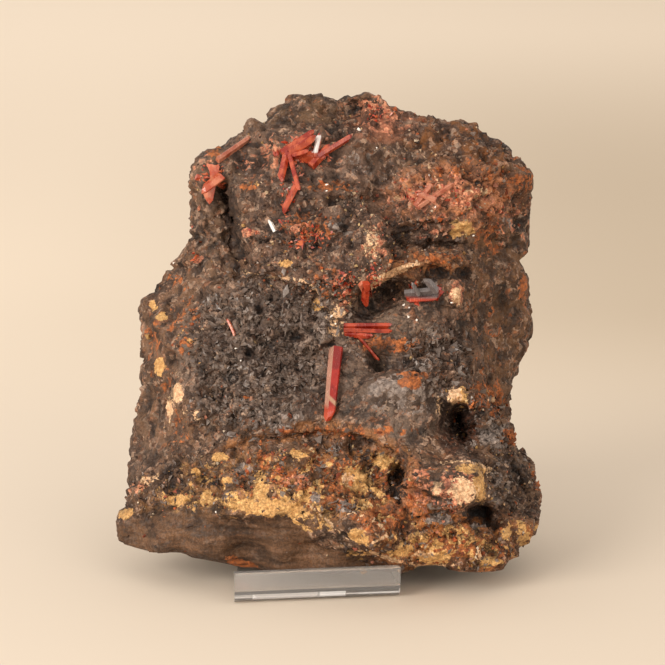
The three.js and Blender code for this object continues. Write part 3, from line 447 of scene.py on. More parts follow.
def write_colours(mesh, layer, channels):
    """Stores up to three numbers for every point as a colour layer."""
    values = np.ones((len(mesh.vertices), 4), np.float32)
    for channel, numbers in enumerate(channels):
        values[:, channel] = numbers
    attribute = mesh.attributes.new(layer, "FLOAT_COLOR", "POINT")
    attribute.data.foreach_set("color", values.ravel())


def baked_copy(source, name, *modifiers):
    """A new object with the source's mesh after some modifiers, given as (kind, settings)."""
    holder = new_object(name, source.data.copy())
    for kind, settings in modifiers:
        modifier = holder.modifiers.new(kind, kind)
        for key, value in settings.items():
            setattr(modifier, key, value)
    graph = bpy.context.evaluated_depsgraph_get()
    mesh = bpy.data.meshes.new_from_object(holder.evaluated_get(graph))
    holder.modifiers.clear()
    holder.data = mesh
    return holder


def refine_front(mesh):
    """Cuts each face that looks at the viewer in four."""
    shape = bmesh.new()
    shape.from_mesh(mesh)
    edges = set()
    for face in shape.faces:
        if face.normal.dot((EYE - face.calc_center_median()).normalized()) > FRONT_FACING:
            edges.update(face.edges)
    bmesh.ops.subdivide_edges(shape, edges=list(edges), cuts=1, use_grid_fill=True)
    shape.to_mesh(mesh)
    shape.free()


def crystal_distance(points):
    """How far each point is from the nearest crystal, in millimetres."""
    marks = []
    for name in CRYSTALS:
        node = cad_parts[name]
        corners = [node.matrix_world @ vertex.co for vertex in node.data.vertices]
        for edge in node.data.edges:
            a, b = (corners[n] for n in edge.vertices)
            steps = 1 + int((a - b).length / (0.7 * MM))
            marks.extend(a.lerp(b, n / steps) for n in range(steps + 1))
    tree = KDTree(len(marks))
    for n, mark in enumerate(marks):
        tree.insert(mark, n)
    tree.balance()
    return np.array([tree.find(point)[2] for point in points]) / MM


# The silhouette's sides, from the foot up: (across, up)
LEFT_SIDE = [
    (-49.3, -48.6), (-50.2, -43.8), (-47.7, -37.4), (-47.2, -29.6), (-46.4, -22.6), (-44.7, -13.5),
    (-44.3, -5), (-44.5, 2.4), (-45, 4.7), (-44.3, 7.5), (-39.6, 11.8), (-38.4, 15.4), (-34.6, 18.6),
    (-33.2, 22.5), (-32.8, 26.5), (-33.2, 33), (-33.5, 36), (-32.4, 39),
]
RIGHT_SIDE = [
    (40.2, -54.4), (42.3, -49.8), (47, -46.5), (48, -41.4), (48.3, -36.8), (46.4, -30), (43.4, -25.9),
    (41.2, -19.8), (41.2, -13.5), (42.4, -8), (45.4, -3.2), (46.2, 0.3), (46, 5.6), (45.4, 9.8),
    (45.2, 12.8), (43.2, 16.5), (45.4, 18.6), (45.4, 25), (46.2, 33), (46.3, 36.6), (43.6, 40),
]
EDGE_REACH = 9.0  # how far inwards a moved side fades out, in millimetres
EDGE_MOVE = 1.6  # the most that a side is moved


def fit_sides(points):
    """Draws the rock's left and right sides in or out to where the photo has them."""
    x, y, _ = face_places(points)
    bins = np.arange(-49, 40)
    move = np.zeros(len(points))
    for side, path in ((-1, LEFT_SIDE), (1, RIGHT_SIDE)):
        reach = np.array([(side * x[np.abs(y - low) < 0.9]).max() for low in bins])
        extreme = np.interp(y, bins, reach)
        across, ups = np.array(path).T
        wanted = side * np.interp(y, ups, across)
        inside = smoothstep(ups[0] - 2, ups[0], y) * smoothstep(ups[-1] + 3, ups[-1], y)
        near = smoothstep(extreme - EDGE_REACH, extreme - 0.5, side * x)
        move += side * np.clip(wanted - extreme, -EDGE_MOVE, EDGE_MOVE) * near * inside
    return points + np.outer(move * MM, ACROSS)


BOX_SPARE = 0.008  # how far the relief may pass the solid's box, as a share of its size


def keep_in_box(points, box):
    low, high = (np.array(corner) for corner in box)
    spare = (high - low) * BOX_SPARE
    return np.clip(points, low - spare, high + spare)


def make_rock():
    """The solids' rock as a finer mesh, with broken relief, and the stains and painted shade stored on it.
    """
    rock = baked_copy(
        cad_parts["matrix"], "rock",
        ("REMESH", {"mode": "VOXEL", "voxel_size": VOXEL}),
        ("SMOOTH", {"factor": 0.5, "iterations": 7}),
    )
    refine_front(rock.data)
    points = read_vectors(rock.data.vertices, "co")
    normals = read_vectors(rock.data.vertex_normals, "vector")
    x, y, _ = face_places(points)
    facing = smoothstep(-0.15, 0.2, normals @ TO_VIEWER)
    move, fine = relief(x, y, points / MM, facing)
    stains = stain_and_shade_strengths(x, y, facing)
    flat = smoothstep(0.35, 0.8, np.maximum(stains["ochre"], stains["cream"]))
    distance, above = near_path(ARCH, x, y)
    smooth = smoothstep(3, 0.8, distance) * (above > 0) * facing

    # The arch is smooth and stands out; ochre and cream lie flat; sockets and the underside stay calm
    move = move * (1 - 0.75 * smooth) + 0.5 * smooth
    move -= 0.5 * flat * fine
    fine *= (1 - 0.6 * smooth) * (1 - 0.7 * flat)
    floor_side = smoothstep(-0.5, -0.9, normals[:, 2])
    move = move * (1 - 0.9 * floor_side) * (0.65 + 0.35 * facing)
    free = smoothstep(0.8, 2.4, crystal_distance(points))
    move = np.where(move > 0, move * free, move * (0.4 + 0.6 * free))
    points = fit_sides(points + normals * (move * MM)[:, None])
    points = keep_in_box(points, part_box("matrix"))
    rock.data.vertices.foreach_set("co", points.astype(np.float32).ravel())
    rock.data.update()
    x, y, _ = face_places(points)
    stains = stain_and_shade_strengths(x, y, facing)
    # tone: painted shade in the fine relief's hollows and painted light on its crests, with some random
    # change
    stains["tone"] = np.clip(0.5 + 0.3 * fine + 0.15 * fractal(points / MM, 4, 3, 91), 0, 1)
    for layer, names in CHANNELS.items():
        write_colours(rock.data, layer, [stains[name] for name in names])
    write_colours(rock.data, "ground", ground_colour(x, y, facing).T)
    rock.data.polygons.foreach_set("use_smooth", np.ones(len(rock.data.polygons), bool))
    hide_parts("matrix")
    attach(rock, "root")
    return rock


# Materials

class Nodes:
    """Short forms for building one material's node tree."""

    def __init__(self, name):
        self.material = bpy.data.materials.new(name)
        self.material.use_nodes = True
        self.tree = self.material.node_tree
        self.shader = self.tree.nodes["Principled BSDF"]
        self.place = self.new("ShaderNodeTexCoord").outputs["Object"]

    def new(self, kind, *values, **settings):
        """Adds a node, and sets or links its first sockets."""
        node = self.tree.nodes.new(kind)
        for key, value in settings.items():
            setattr(node, key, value)
        for socket, value in zip(node.inputs, values):
            self.put(socket, value)
        return node

    def put(self, socket, value):
        """Sets or links a socket; three whole numbers are a screen colour."""
        if isinstance(value, tuple):
            value = srgb(*value)
        if isinstance(value, bpy.types.NodeSocket):
            self.tree.links.new(value, socket)
        else:
            socket.default_value = value

    def texture(self, kind, size, place, **settings):
        """A texture whose largest lumps or cells are about `size` millimetres."""
        node = self.new(kind, place, **settings)
        node.inputs["Scale"].default_value = 1 / (size * MM)
        return node

    def noise(self, size, detail=4, rough=0.6, stretch=(1, 1, 1), seed=0.0):
        mapping = self.new("ShaderNodeMapping", self.place)
        mapping.inputs["Scale"].default_value = stretch
        mapping.inputs["Location"].default_value = (seed, seed * 0.7, seed * 1.3)
        node = self.texture("ShaderNodeTexNoise", size, mapping.outputs["Vector"])
        node.inputs["Detail"].default_value = detail
        node.inputs["Roughness"].default_value = rough
        return node.outputs["Fac"]

    def warped(self, size, reach):
        """The place, pushed about by noise, so that cells get ragged sides."""
        noise = self.texture("ShaderNodeTexNoise", size, self.place)
        push = self.new("ShaderNodeVectorMath", noise.outputs["Color"], operation="MULTIPLY_ADD")
        push.inputs[1].default_value = (reach * MM,) * 3
        self.put(push.inputs[2], self.place)
        return push.outputs[0]

    def cells(self, size, place):
        """Three numbers from 0 to 1 for each cell."""
        return self.parts(self.texture("ShaderNodeTexVoronoi", size, place).outputs["Color"])

    def parts(self, value, kind="Color"):
        """The three numbers in a colour or, with "XYZ", in a place or direction."""
        node = self.new("ShaderNodeSeparate" + kind, value)
        return [node.outputs[n] for n in range(3)]

    def math(self, operation, a, b=0.0, clamp=False):
        return self.new("ShaderNodeMath", a, b, operation=operation, use_clamp=clamp).outputs[0]

    def times(self, a, b):
        return self.math("MULTIPLY", a, b)

    def fit(self, value, low, high, to_low=0.0, to_high=1.0):
        """Brings a value from one range to another, without going past it."""
        values = (value, low, high, to_low, to_high)
        return self.new("ShaderNodeMapRange", *values, interpolation_type="SMOOTHSTEP").outputs[0]

    def fade(self, place, span, to_low=0.0, to_high=1.0):
        """The same for a place, with the first range in millimetres."""
        return self.fit(place, span[0] * MM, span[1] * MM, to_low, to_high)

    def off_line(self, a, b, slope, at):
        """Distance of a + slope * b from a value in millimetres."""
        line = self.math("ADD", a, self.times(b, slope))
        return self.math("ABSOLUTE", self.math("SUBTRACT", line, at * MM))

    def mix(self, share, a, b, blend="MIX"):
        node = self.new("ShaderNodeMix", data_type="RGBA", blend_type=blend)
        self.put(node.inputs[0], share)
        self.put(node.inputs[6], a)
        self.put(node.inputs[7], b)
        return node.outputs[2]

    def layer(self, name):
        return self.new("ShaderNodeAttribute", attribute_name=name).outputs["Color"]

    def bump(self, height, distance, strength=1.0, below=None):
        node = self.new("ShaderNodeBump")
        self.put(node.inputs["Height"], height)
        node.inputs["Distance"].default_value = distance * MM
        node.inputs["Strength"].default_value = strength
        if below is not None:
            self.put(node.inputs["Normal"], below)
        return node.outputs["Normal"]


CHUNK = 2.6  # size of the pieces that the bare rock seems to be made of, in millimetres
# The colour of painted shade in cracks and holes, and of dark patches
BLACK_BROWN = (40, 25, 17)


def rock_material():
    n = Nodes("rock")
    ochre, rust, salmon = n.parts(n.layer("stain_a"))
    cream, grey, dark = n.parts(n.layer("stain_and_shade_b"))
    underside, face, tone = n.parts(n.layer("stain_and_shade_c"))
    soft = n.parts(n.layer("stain_d"))[0]
    coarse = n.fit(n.noise(5), 0.36, 0.64)
    middling = n.fit(n.noise(2, 3, seed=0.31), 0.36, 0.64)
    fine = n.fit(n.noise(0.9, 3, seed=0.57), 0.36, 0.64)
    grain = n.fit(n.noise(0.42, 2, seed=0.83), 0.34, 0.66)
    pushed = n.warped(2.2, 2.8)
    chunk_a, chunk_b, _ = n.cells(CHUNK, pushed)
    chip_a, chip_b, chip_c = n.cells(1.15, pushed)
    slab, _, _ = n.cells(4.2, pushed)
    edge = n.texture("ShaderNodeTexVoronoi", CHUNK, pushed, feature="DISTANCE_TO_EDGE").outputs["Distance"]

    def blend(a, b, share=0.5):
        return n.math("ADD", n.times(a, 1 - share), n.times(b, share))

    def chipped(below, amount, tone):
        return n.mix(n.times(amount, n.fit(face, 0, 1, 0.3, 1)), below, tone)

    # The sides turned away have broad brown and grey areas of their own
    broad = n.fit(n.noise(15, 5, seed=0.11), 0.38, 0.62)
    rusty = n.fit(n.noise(11, 5, 0.65, seed=0.47), 0.54, 0.66, 0, 0.7)
    away = n.mix(rusty, n.mix(broad, (80, 64, 54), (122, 92, 70)), (142, 88, 52))
    ground = n.mix(face, away, n.layer("ground"))

    # The bare rock: dark lumps and pale ones, with rusty and pale chips
    colour = n.mix(n.fit(blend(chunk_a, coarse, 0.65), 0.3, 0.72, 0, 0.75), ground, (50, 34, 26))
    colour = chipped(colour, n.fit(blend(chunk_b, middling), 0.5, 0.75, 0, 0.4), (150, 122, 104))
    colour = chipped(colour, n.fit(blend(chip_b, middling, 0.6), 0.62, 0.78, 0, 0.45), (152, 92, 54))
    colour = n.mix(n.fit(blend(chip_a, middling), 0.6, 0.78, 0, 0.6), colour, (44, 28, 20))
    colour = chipped(colour, n.fit(blend(chip_c, middling), 0.7, 0.82, 0, 0.45), (184, 154, 130))

    def layer(below, strength, ragged, near, far, hard=9.0, spread=0.9):
        """A stain with ragged sides: hard says how sharp they are, spread how ragged."""
        wanted = n.math("ADD", strength, n.times(n.math("SUBTRACT", ragged, 0.5), spread))
        share = n.math("ADD", n.times(n.math("SUBTRACT", wanted, 0.5), hard), 0.5, clamp=True)
        return n.mix(n.times(share, n.fit(strength, 0, 0.12)), below, n.mix(fine, near, far))

    layers = n.fit(n.noise(3, 5, stretch=(0.3, 0.6, 1.6)), 0.34, 0.66)
    colour = n.mix(n.times(underside, 0.8), colour, n.mix(layers, (48, 32, 20), (104, 73, 49)))
    colour = layer(colour, grey, blend(chunk_a, middling), (104, 90, 82), (152, 136, 126))
    colour = layer(colour, rust, blend(chunk_b, middling), (128, 72, 38), (184, 108, 60))
    colour = layer(colour, salmon, blend(chip_a, middling), (168, 96, 68), (214, 148, 114))
    colour = layer(colour, ochre, blend(slab, middling, 0.35), (182, 132, 74), (218, 172, 112),
                   hard=12, spread=1)
    colour = layer(colour, cream, blend(slab, fine), (196, 148, 108), (228, 190, 150),
                   hard=12, spread=0.6)
    # Dark patches and painted shade; the strongest marks, in the holes, are painted nearly black
    colour = layer(colour, dark, blend(chip_b, middling), BLACK_BROWN, (70, 50, 38), hard=5, spread=1.1)
    colour = n.mix(n.fit(dark, 0.78, 0.92, 0, 0.9), colour, (14, 9, 7))

    # Painted shade in the cracks between the pieces, weaker where the rock is soft, smooth or turned away
    broken = n.times(n.fit(face, 0, 1, 0.6, 1), n.math("SUBTRACT", 1, n.times(soft, 0.6)))
    broken = n.times(broken, n.math("SUBTRACT", 1, underside))
    broken = n.times(broken, n.fit(n.math("MAXIMUM", ochre, cream), 0.3, 0.7, 1, 0.15))
    crack = n.times(n.fit(edge, 0, 0.09, 0.7, 0), n.fit(middling, 0.3, 0.7))
    colour = n.mix(n.times(crack, broken), colour, BLACK_BROWN)

    # Painted shade in the hollows and painted light on the crests, with fine specks
    painted_hollow_shade = n.fit(tone, 0.1, 0.52, 0.26, 1)
    painted_crest_light = n.fit(tone, 0.55, 0.95, 1, 1.4)
    speck = n.mix(soft, n.fit(grain, 0, 1, 0.76, 1.24), n.fit(grain, 0, 1, 0.88, 1.12))
    light = n.times(n.times(painted_hollow_shade, painted_crest_light), speck)
    n.put(n.shader.inputs["Base Color"], n.mix(1, colour, light, "MULTIPLY"))

    n.put(n.shader.inputs["Roughness"], n.fit(fine, 0.1, 0.8, 0.5, 0.9))
    n.shader.inputs["Specular IOR Level"].default_value = 0.4
    rough = n.bump(n.noise(1.3, 5, 0.65, seed=0.21), 0.6, 0.8)
    pieces = n.times(n.fit(edge, 0, 0.2), broken)
    n.put(n.shader.inputs["Normal"], n.bump(pieces, 0.35, 0.6, rough))
    return n.material


# Where crystals change colour, in millimetres in the part's frame
PRISM_ORANGE = (40, 43)  # up from the main prism's foot, until the orange has faded
PRISM_PAINTED_SHEEN = (41, 42.5)  # where the painted sheen on its left side begins
PRISM_BAND = 43.2  # where its pale band crosses X = 0
PRISM_BAND_SLOPE = 0.9
GLINT = (-3.4, 96.6)  # X and Z of the middle of the crown's painted highlight, a white strip
GLINT_SLOPE = 0.25
POCKET_GREY_LEFT = (23.8, 24.6)  # the pocket's grey prisms end here on the right
POCKET_GREY_ABOVE = (63.6, 64.6)  # and here at the bottom


def crystal_material(name, deep, bright, see_through, frost=0.3, mark=None):
    """Clouded red with pale frosted streaks along its length, and marks of its own if it has any."""
    n = Nodes(name)
    streak = n.noise(0.5, 4, 0.7, stretch=(1, 1, 0.15), seed=0.4)
    colour = n.mix(n.fit(n.noise(2.2, 3, 0.5), 0.38, 0.62), deep, bright)
    colour = n.mix(n.fit(streak, 0.6, 0.72, 0, frost), colour, (238, 176, 150))
    if mark:
        across, _, height = n.parts(n.place, "XYZ")
        colour = mark(n, colour, streak, across, height)
    n.put(n.shader.inputs["Base Color"], colour)
    n.put(n.shader.inputs["Roughness"], n.fit(streak, 0.3, 0.7, 0.1, 0.3))
    n.shader.inputs["IOR"].default_value = 1.6
    n.shader.inputs["Transmission Weight"].default_value = see_through
    n.put(n.shader.inputs["Normal"], n.bump(streak, 0.08, 0.4))
    return n.material


def mark_prism(n, colour, streak, across, height):
    """A left side painted pale and streaky as sheen from the light, above one pale band, and an orange foot
    below it.
    """
    side, _, _ = n.parts(n.new("ShaderNodeNewGeometry").outputs["Normal"], "XYZ")
    colour = n.mix(n.fade(height, PRISM_ORANGE, 0.8, 0), colour, (206, 78, 48))
    off_band = n.off_line(height, across, PRISM_BAND_SLOPE, PRISM_BAND)
    colour = n.mix(n.fade(off_band, (0.2, 0.8), 0.7, 0), colour, (206, 172, 136))
    # Painted sheen: the faces turned to the left, towards the key light, are painted pale and streaky
    frosted = n.times(n.fit(side, -0.75, -0.35, 0.8, 0), n.fade(height, PRISM_PAINTED_SHEEN, 0.15, 1))
    return n.mix(frosted, colour, n.mix(streak, (188, 132, 106), (228, 186, 164)))


def mark_crown(n, colour, streak, across, height):
    """One white strip, a painted highlight where a flat side mirrors the light."""
    off_strip = n.off_line(across, height, -GLINT_SLOPE, GLINT[0] - GLINT_SLOPE * GLINT[1])
    off_middle = n.off_line(height, across, 0, GLINT[1])
    strip = n.times(n.fade(off_strip, (0.5, 0.8), 1, 0), n.fade(off_middle, (1.7, 2.1), 1, 0))
    return n.mix(strip, colour, (255, 250, 246))


def mark_pocket(n, colour, streak, across, height):
    """Grey streaky prisms above the red ones."""
    grey = n.times(n.fade(height, POCKET_GREY_ABOVE), n.fade(across, POCKET_GREY_LEFT, 1, 0))
    return n.mix(grey, colour, n.mix(streak, (66, 54, 50), (146, 136, 134)))


def acrylic_material():
    n = Nodes("clear_acrylic")
    n.shader.inputs["Base Color"].default_value = (0.98, 0.95, 0.93, 1)
    n.shader.inputs["IOR"].default_value = 1.49
    n.shader.inputs["Transmission Weight"].default_value = 0.88
    n.put(n.shader.inputs["Roughness"], n.fit(n.noise(14, 3), 0.3, 0.8, 0.02, 0.07))
    return n.material


def dress_crystals():
    red = crystal_material("crocoite_red", (136, 30, 16), (190, 74, 46), 0.2)
    salmon = crystal_material("crocoite_salmon", (180, 76, 48), (208, 124, 92), 0.15)
    crusted = crystal_material("crocoite_crusted", (164, 84, 58), (194, 126, 98), 0.1, 0.6)
    # Painted highlight: the small white prism is coloured near-white for its glint
    pale = crystal_material("pale_crystal", (240, 226, 214), (252, 246, 240), 0.3)
    prism = crystal_material("main_prism_red", (138, 16, 6), (176, 34, 16), 0.2, 0.15, mark_prism)
    crown = crystal_material("crocoite_crown", (148, 36, 16), (196, 88, 54), 0.2, 0.3, mark_crown)
    pocket = crystal_material("pocket_crystals", (150, 34, 18), (198, 74, 44), 0.15, 0.25, mark_pocket)
    finishes = {
        "main_prism": prism, "crown_cluster": crown, "pocket_crystals": pocket, "white_prism": pale,
        "left_shoulder_cluster": salmon, "shoulder_prism": crusted, "dome_cluster": crusted,
        "small_needle": salmon,
    }
    for name in CRYSTALS:
        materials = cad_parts[name].data.materials
        materials.clear()
        materials.append(finishes.get(name, red))


def make_easel():
    easel = baked_copy(
        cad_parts["easel_stand"], "clear_easel",
        ("WELD", {"merge_threshold": 0.02 * MM}),
        ("BEVEL", {"width": 0.4 * MM, "segments": 2, "limit_method": "ANGLE",
                   "angle_limit": math.radians(50)}),
    )
    easel.data.materials.clear()
    easel.data.materials.append(acrylic_material())
    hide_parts("easel_stand")
    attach(easel, "root")


# Grains and plates that stand on the rock

HOLE_STRENGTH = 0.95  # a dark mark at least this strong is a hole, painted near-black as shade
HOLE_MARGIN = 0.7  # millimetres, kept free around such a hole
CRUMBS = 3200
PLATES = 2600
REDS = 460


def near_hole(x, y):
    """Where grains are left out, so that they don't cover the small black holes."""
    total = np.zeros(len(x))
    for strength, *blob in STAINS_AND_SHADE["dark"]:
        if strength >= HOLE_STRENGTH:
            total = np.maximum(total, patch(x, y, blob, margin=HOLE_MARGIN))
    return total > 0.2


def surface_samples(mesh, count, weigh, chance):
    """Points spread over the mesh by area and by weigh(x, y), with their normals."""
    mesh.calc_loop_triangles()
    corners = np.empty(len(mesh.loop_triangles) * 3, np.int32)
    mesh.loop_triangles.foreach_get("vertices", corners)
    points = read_vectors(mesh.vertices, "co")[corners.reshape(-1, 3)]
    cross = np.cross(points[:, 1] - points[:, 0], points[:, 2] - points[:, 0])
    area_size = np.linalg.norm(cross, axis=1)
    normals = cross / np.maximum(area_size, 1e-12)[:, None]
    x, y, _ = face_places(points.mean(axis=1))
    share = area_size * weigh(x, y) * (normals @ TO_VIEWER > 0.3) * ~near_hole(x, y)
    picked = chance.choice(len(share), count, p=share / share.sum())
    a, b = chance.random((2, count))
    a, b = np.where(a + b > 1, 1 - a, a), np.where(a + b > 1, 1 - b, b)
    sides = points[picked]
    at = sides[:, 0] + (sides[:, 1] - sides[:, 0]) * a[:, None] + (sides[:, 2] - sides[:, 0]) * b[:, None]
    return at, normals[picked]


def random_turns(count, chance):
    """Rotation matrices, spread evenly."""
    return np.array([Quaternion(q).normalized().to_matrix() for q in chance.normal(size=(count, 4))])


GRAIN_CORNERS = np.array([(1, 0, 0), (-1, 0, 0), (0, 1, 0), (0, -1, 0), (0, 0, 1), (0, 0, -1)])
GRAIN_FACES = [(0, 2, 4), (2, 1, 4), (1, 3, 4), (3, 0, 4), (2, 0, 5), (1, 2, 5), (3, 1, 5), (0, 3, 5)]


def grain_material(name, roughness, shine, worn_share):
    n = Nodes(name)
    worn = n.fit(n.noise(0.4, 3, 0.7), 0.35, 0.65)
    colour = n.mix(n.fit(worn, 0, 1, 0, worn_share), n.layer("paint"), (70, 46, 32))
    n.put(n.shader.inputs["Base Color"], colour)
    n.put(n.shader.inputs["Roughness"], n.fit(worn, 0, 1, roughness, roughness + 0.2))
    n.shader.inputs["Specular IOR Level"].default_value = shine
    return n.material


def joined_grains(name, places, sizes, colours, chance, roughness, shine, worn_share=0.5):
    """One mesh of many small broken grains; sizes are half lengths in millimetres, three to a grain."""
    count = len(places)
    shape = GRAIN_CORNERS + chance.uniform(-0.35, 0.35, (count, len(GRAIN_CORNERS), 3))
    shape *= sizes[:, None, :] * MM
    corners = np.einsum("nij,nkj->nki", random_turns(count, chance), shape) + places[:, None, :]
    faces = np.array(GRAIN_FACES)[None] + len(GRAIN_CORNERS) * np.arange(count)[:, None, None]
    mesh = bpy.data.meshes.new(name)
    mesh.from_pydata(corners.reshape(-1, 3).tolist(), [], faces.reshape(-1, 3).tolist())
    write_colours(mesh, "paint", np.repeat(colours, len(GRAIN_CORNERS), axis=0).T)
    mesh.materials.append(grain_material(name, roughness, shine, worn_share))
    grains = new_object(name, mesh)
    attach(grains, "root")


GRAIN_PAINTS = {
    "ochre": [(218, 170, 104), (192, 142, 82), (228, 190, 134)],
    "rust": [(196, 96, 44), (158, 76, 38), (214, 120, 60)],
    "salmon": [(210, 132, 100), (184, 94, 68), (228, 166, 134)],
    "cream": [(232, 198, 158), (214, 172, 130), (240, 216, 186)],
    "grey": [(150, 130, 118), (118, 100, 90), (172, 154, 142)],
    "dark": [(46, 32, 24), (62, 46, 36), (36, 24, 18)],
}


def add_crumbs(rock):
    """Small broken grains on the crusts, coloured after the stains that they lie on."""
    chance = np.random.default_rng(41)

    def weigh(x, y):
        stains = stain_and_shade_strengths(x, y, np.ones(len(x)))
        flat = smoothstep(0.4, 0.8, np.maximum(stains["ochre"], stains["cream"]))
        wanted = 1.6 * area("crumbs", x, y) + 1.2 * area("crust", x, y) + 0.5 * area("plates", x, y)
        return (wanted + 0.3 * area("granular", x, y) + 0.05) * (1 - 0.75 * flat)

    places, _ = surface_samples(rock.data, CRUMBS, weigh, chance)
    x, y, _ = face_places(places)
    stains = stain_and_shade_strengths(x, y, np.ones(CRUMBS))
    names = list(GRAIN_PAINTS)
    odds = np.stack([stains[name] ** 1.3 + 0.05 for name in names], axis=1)
    odds[:, names.index("dark")] += 0.12
    odds[:, names.index("grey")] += 0.12
    odds /= odds.sum(axis=1)[:, None]
    picked = (odds.cumsum(axis=1) < chance.random(CRUMBS)[:, None]).sum(axis=1)
    tones = np.array([srgb_rows(*paints) for paints in GRAIN_PAINTS.values()])
    colours = tones[picked, chance.integers(0, 3, CRUMBS)] * chance.uniform(0.45, 0.9, CRUMBS)[:, None]
    long = np.exp(chance.normal(math.log(0.32), 0.42, CRUMBS))
    sizes = np.clip(long[:, None] * chance.uniform(0.5, 1.3, (CRUMBS, 3)), 0.1, 0.9)
    joined_grains("crumbs", places, sizes, colours, chance, roughness=0.55, shine=0.4)


def add_plates(rock):
    """Thin plates in the pocket face."""
    chance = np.random.default_rng(43)

    def weigh(x, y):
        return area("plates", x, y) * (1 - 0.8 * area("mound", x, y)) + 0.1 * area("crumbs", x, y)

    places, normals = surface_samples(rock.data, PLATES, weigh, chance)
    long = np.exp(chance.normal(math.log(0.75), 0.35, PLATES))
    sizes = np.stack([long, long * chance.uniform(0.35, 0.7, PLATES), np.full(PLATES, 0.09)], axis=1)
    share = chance.random(PLATES)[:, None] ** 1.6
    dull, bright = srgb_rows((80, 62, 51), (140, 126, 116))
    colours = dull * (1 - share) + bright * share
    places = places + normals * 0.05 * MM
    joined_grains("vug_plates", places, sizes, colours, chance, roughness=0.28, shine=0.6)


# Blobs where small red and orange crystals stand close together
RED_GRAINS = [
    (-8, 41.5, 4.6, 3.4), (-9.6, 33.5, 2, 5.5, -10), (-3, 41, 3, 2.6, 30), (-27.6, 36, 3, 3.6),
    (20, 31.4, 3.4, 2.4), (27, 32, 3.2, 2.4), (18.6, 10.8, 1.6, 0.9), (24.6, 10.6, 1.2, 1.4),
    (20.4, 7.4, 3, 0.9), (-5, 21.5, 4.6, 3.6), (-10.5, 26, 1.6, 1), (-17.6, 22.8, 1.8, 1),
    (2.6, 11, 2.6, 3.4), (-12.4, -31.4, 0.9, 0.9), (-31.6, 17.2, 1.2, 1.2), (38.6, 28.4, 0.7, 1.4),
    (10, 50.5, 3.4, 1.6, -10), (9, 13, 3, 3),
]
# Single white grains, painted highlights where small glints catch the light: (across, up, half length)
GLINT_GRAINS = [
    (-9.8, 43.8, 0.45), (-8.6, 40.6, 0.5), (-10.7, 33.5, 0.3), (23.8, 29.3, 0.35), (33, 22, 0.4),
    (16.4, 7, 0.35), (17.6, 6.5, 0.3), (-1.7, 34.6, 0.35), (-1.3, 33.2, 0.3), (-36.9, 15.3, 0.3),
    (6, 47.2, 0.6), (27.5, 6.3, 0.35), (17.4, 4, 0.4), (19.7, 3.5, 0.35), (-22.8, -4, 0.3),
    (-21.5, -6.4, 0.3), (-27.3, -41.8, 0.4), (0.4, 3.8, 0.4), (1.2, 1.6, 0.35), (21.6, 35.8, 0.35),
    (10.6, 43, 0.3),
]


def add_red_grains(rock):
    chance = np.random.default_rng(47)

    def weigh(x, y):
        return sum(patch(x, y, blob) for blob in RED_GRAINS)

    places, _ = surface_samples(rock.data, REDS, weigh, chance)
    tones = srgb_rows((178, 64, 38), (150, 46, 28), (208, 120, 90), (200, 98, 58))
    colours = tones[chance.integers(0, 4, REDS)] * chance.uniform(0.75, 1.1, REDS)[:, None]
    sizes = np.exp(chance.normal(math.log(0.4), 0.35, REDS))[:, None] * [0.6, 0.7, 1.5]
    joined_grains("red_grains", places, sizes, colours, chance, roughness=0.2, shine=0.7, worn_share=0.25)


def add_glint_grains(rock):
    chance = np.random.default_rng(53)
    points = read_vectors(rock.data.vertices, "co")
    x, y, depth = face_places(points)
    places = []
    for across, up, _ in GLINT_GRAINS:
        near = np.hypot(x - across, y - up) < 0.8
        places.append(points[near][np.argmax(depth[near])])
    sizes = np.array([half for _, _, half in GLINT_GRAINS])[:, None] * [0.7, 0.7, 1.2]
    # Painted highlight: the grains are near-white
    colours = np.tile(srgb_rows((252, 244, 234)), (len(places), 1))
    places = np.array(places)
    joined_grains("painted_glint_grains", places, sizes, colours, chance, roughness=0.15, shine=0.8, worn_share=0)


# Stage and light

FLOOR = 4.0  # half its side, in metres
WARM_WHITE = (1, 0.96, 0.9)


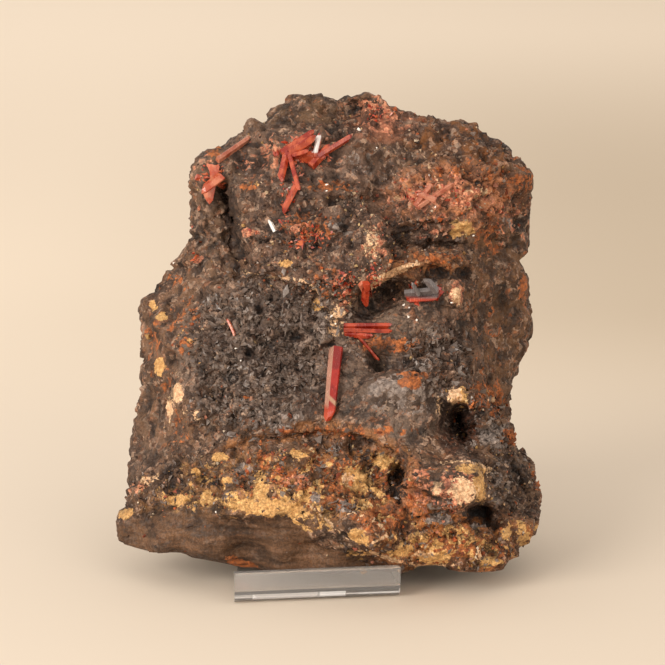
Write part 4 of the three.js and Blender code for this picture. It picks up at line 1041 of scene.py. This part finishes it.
def make_floor():
    mesh = bpy.data.meshes.new("floor")
    corners = [(-FLOOR, -FLOOR, 0), (FLOOR, -FLOOR, 0), (FLOOR, FLOOR, 0), (-FLOOR, FLOOR, 0)]
    mesh.from_pydata(corners, [], [(0, 1, 2, 3)])
    floor = new_object("floor", mesh)
    n = Nodes("floor_card")
    across, back, _ = n.parts(n.place, "XYZ")
    # Painted light and shade: paler further back, where the lamps reach less, and darker towards the right
    colour = n.mix(n.fit(back, 0, 0.4), (222, 208, 191), (248, 232, 212))
    colour = n.mix(n.fit(across, -0.3, 0.4, 0, 0.4), colour, (206, 188, 166))

    # Painted shade: a duskier band behind the rock, stronger towards the right
    far_band = n.times(n.fit(back, 0.05, 0.3), n.fit(back, 0.5, 1.3, 1, 0))
    painted_dusk_shade = n.times(far_band, n.fit(across, -0.14, 0.14, 0.25, 1))
    colour = n.mix(painted_dusk_shade, colour, (200, 183, 161))
    n.put(n.shader.inputs["Base Color"], colour)
    n.shader.inputs["Roughness"].default_value = 0.8
    n.shader.inputs["Specular IOR Level"].default_value = 0.2
    mesh.materials.append(n.material)


def area_light(name, at, size, watts):
    """A round soft light, aimed at the middle of the rock."""
    data = bpy.data.lights.new(name, "AREA")
    data.shape = "DISK"
    data.size = size
    data.energy = watts
    data.color = WARM_WHITE
    lamp = new_object(name, data)
    lamp.location = at
    lamp.rotation_euler = (Vector((0, 0, 0.05)) - Vector(at)).to_track_quat("-Z", "Y").to_euler()


def make_light():
    world = bpy.data.worlds.new("studio")
    bpy.context.scene.world = world
    world.use_nodes = True
    backdrop = world.node_tree.nodes["Background"]
    backdrop.inputs[0].default_value = (1, 0.93, 0.85, 1)
    backdrop.inputs[1].default_value = 0.93
    area_light("key_light", (-0.82, -0.84, 0.5), 0.8, 13)
    area_light("fill_light", (0.6, -1, 0.5), 0.9, 2.5)
    bpy.context.scene.view_settings.view_transform = "Standard"


make_camera()
rock = make_rock()
rock.data.materials.clear()
rock.data.materials.append(rock_material())
add_crumbs(rock)
add_plates(rock)
add_red_grains(rock)
add_glint_grains(rock)
dress_crystals()
make_easel()
make_floor()
make_light()
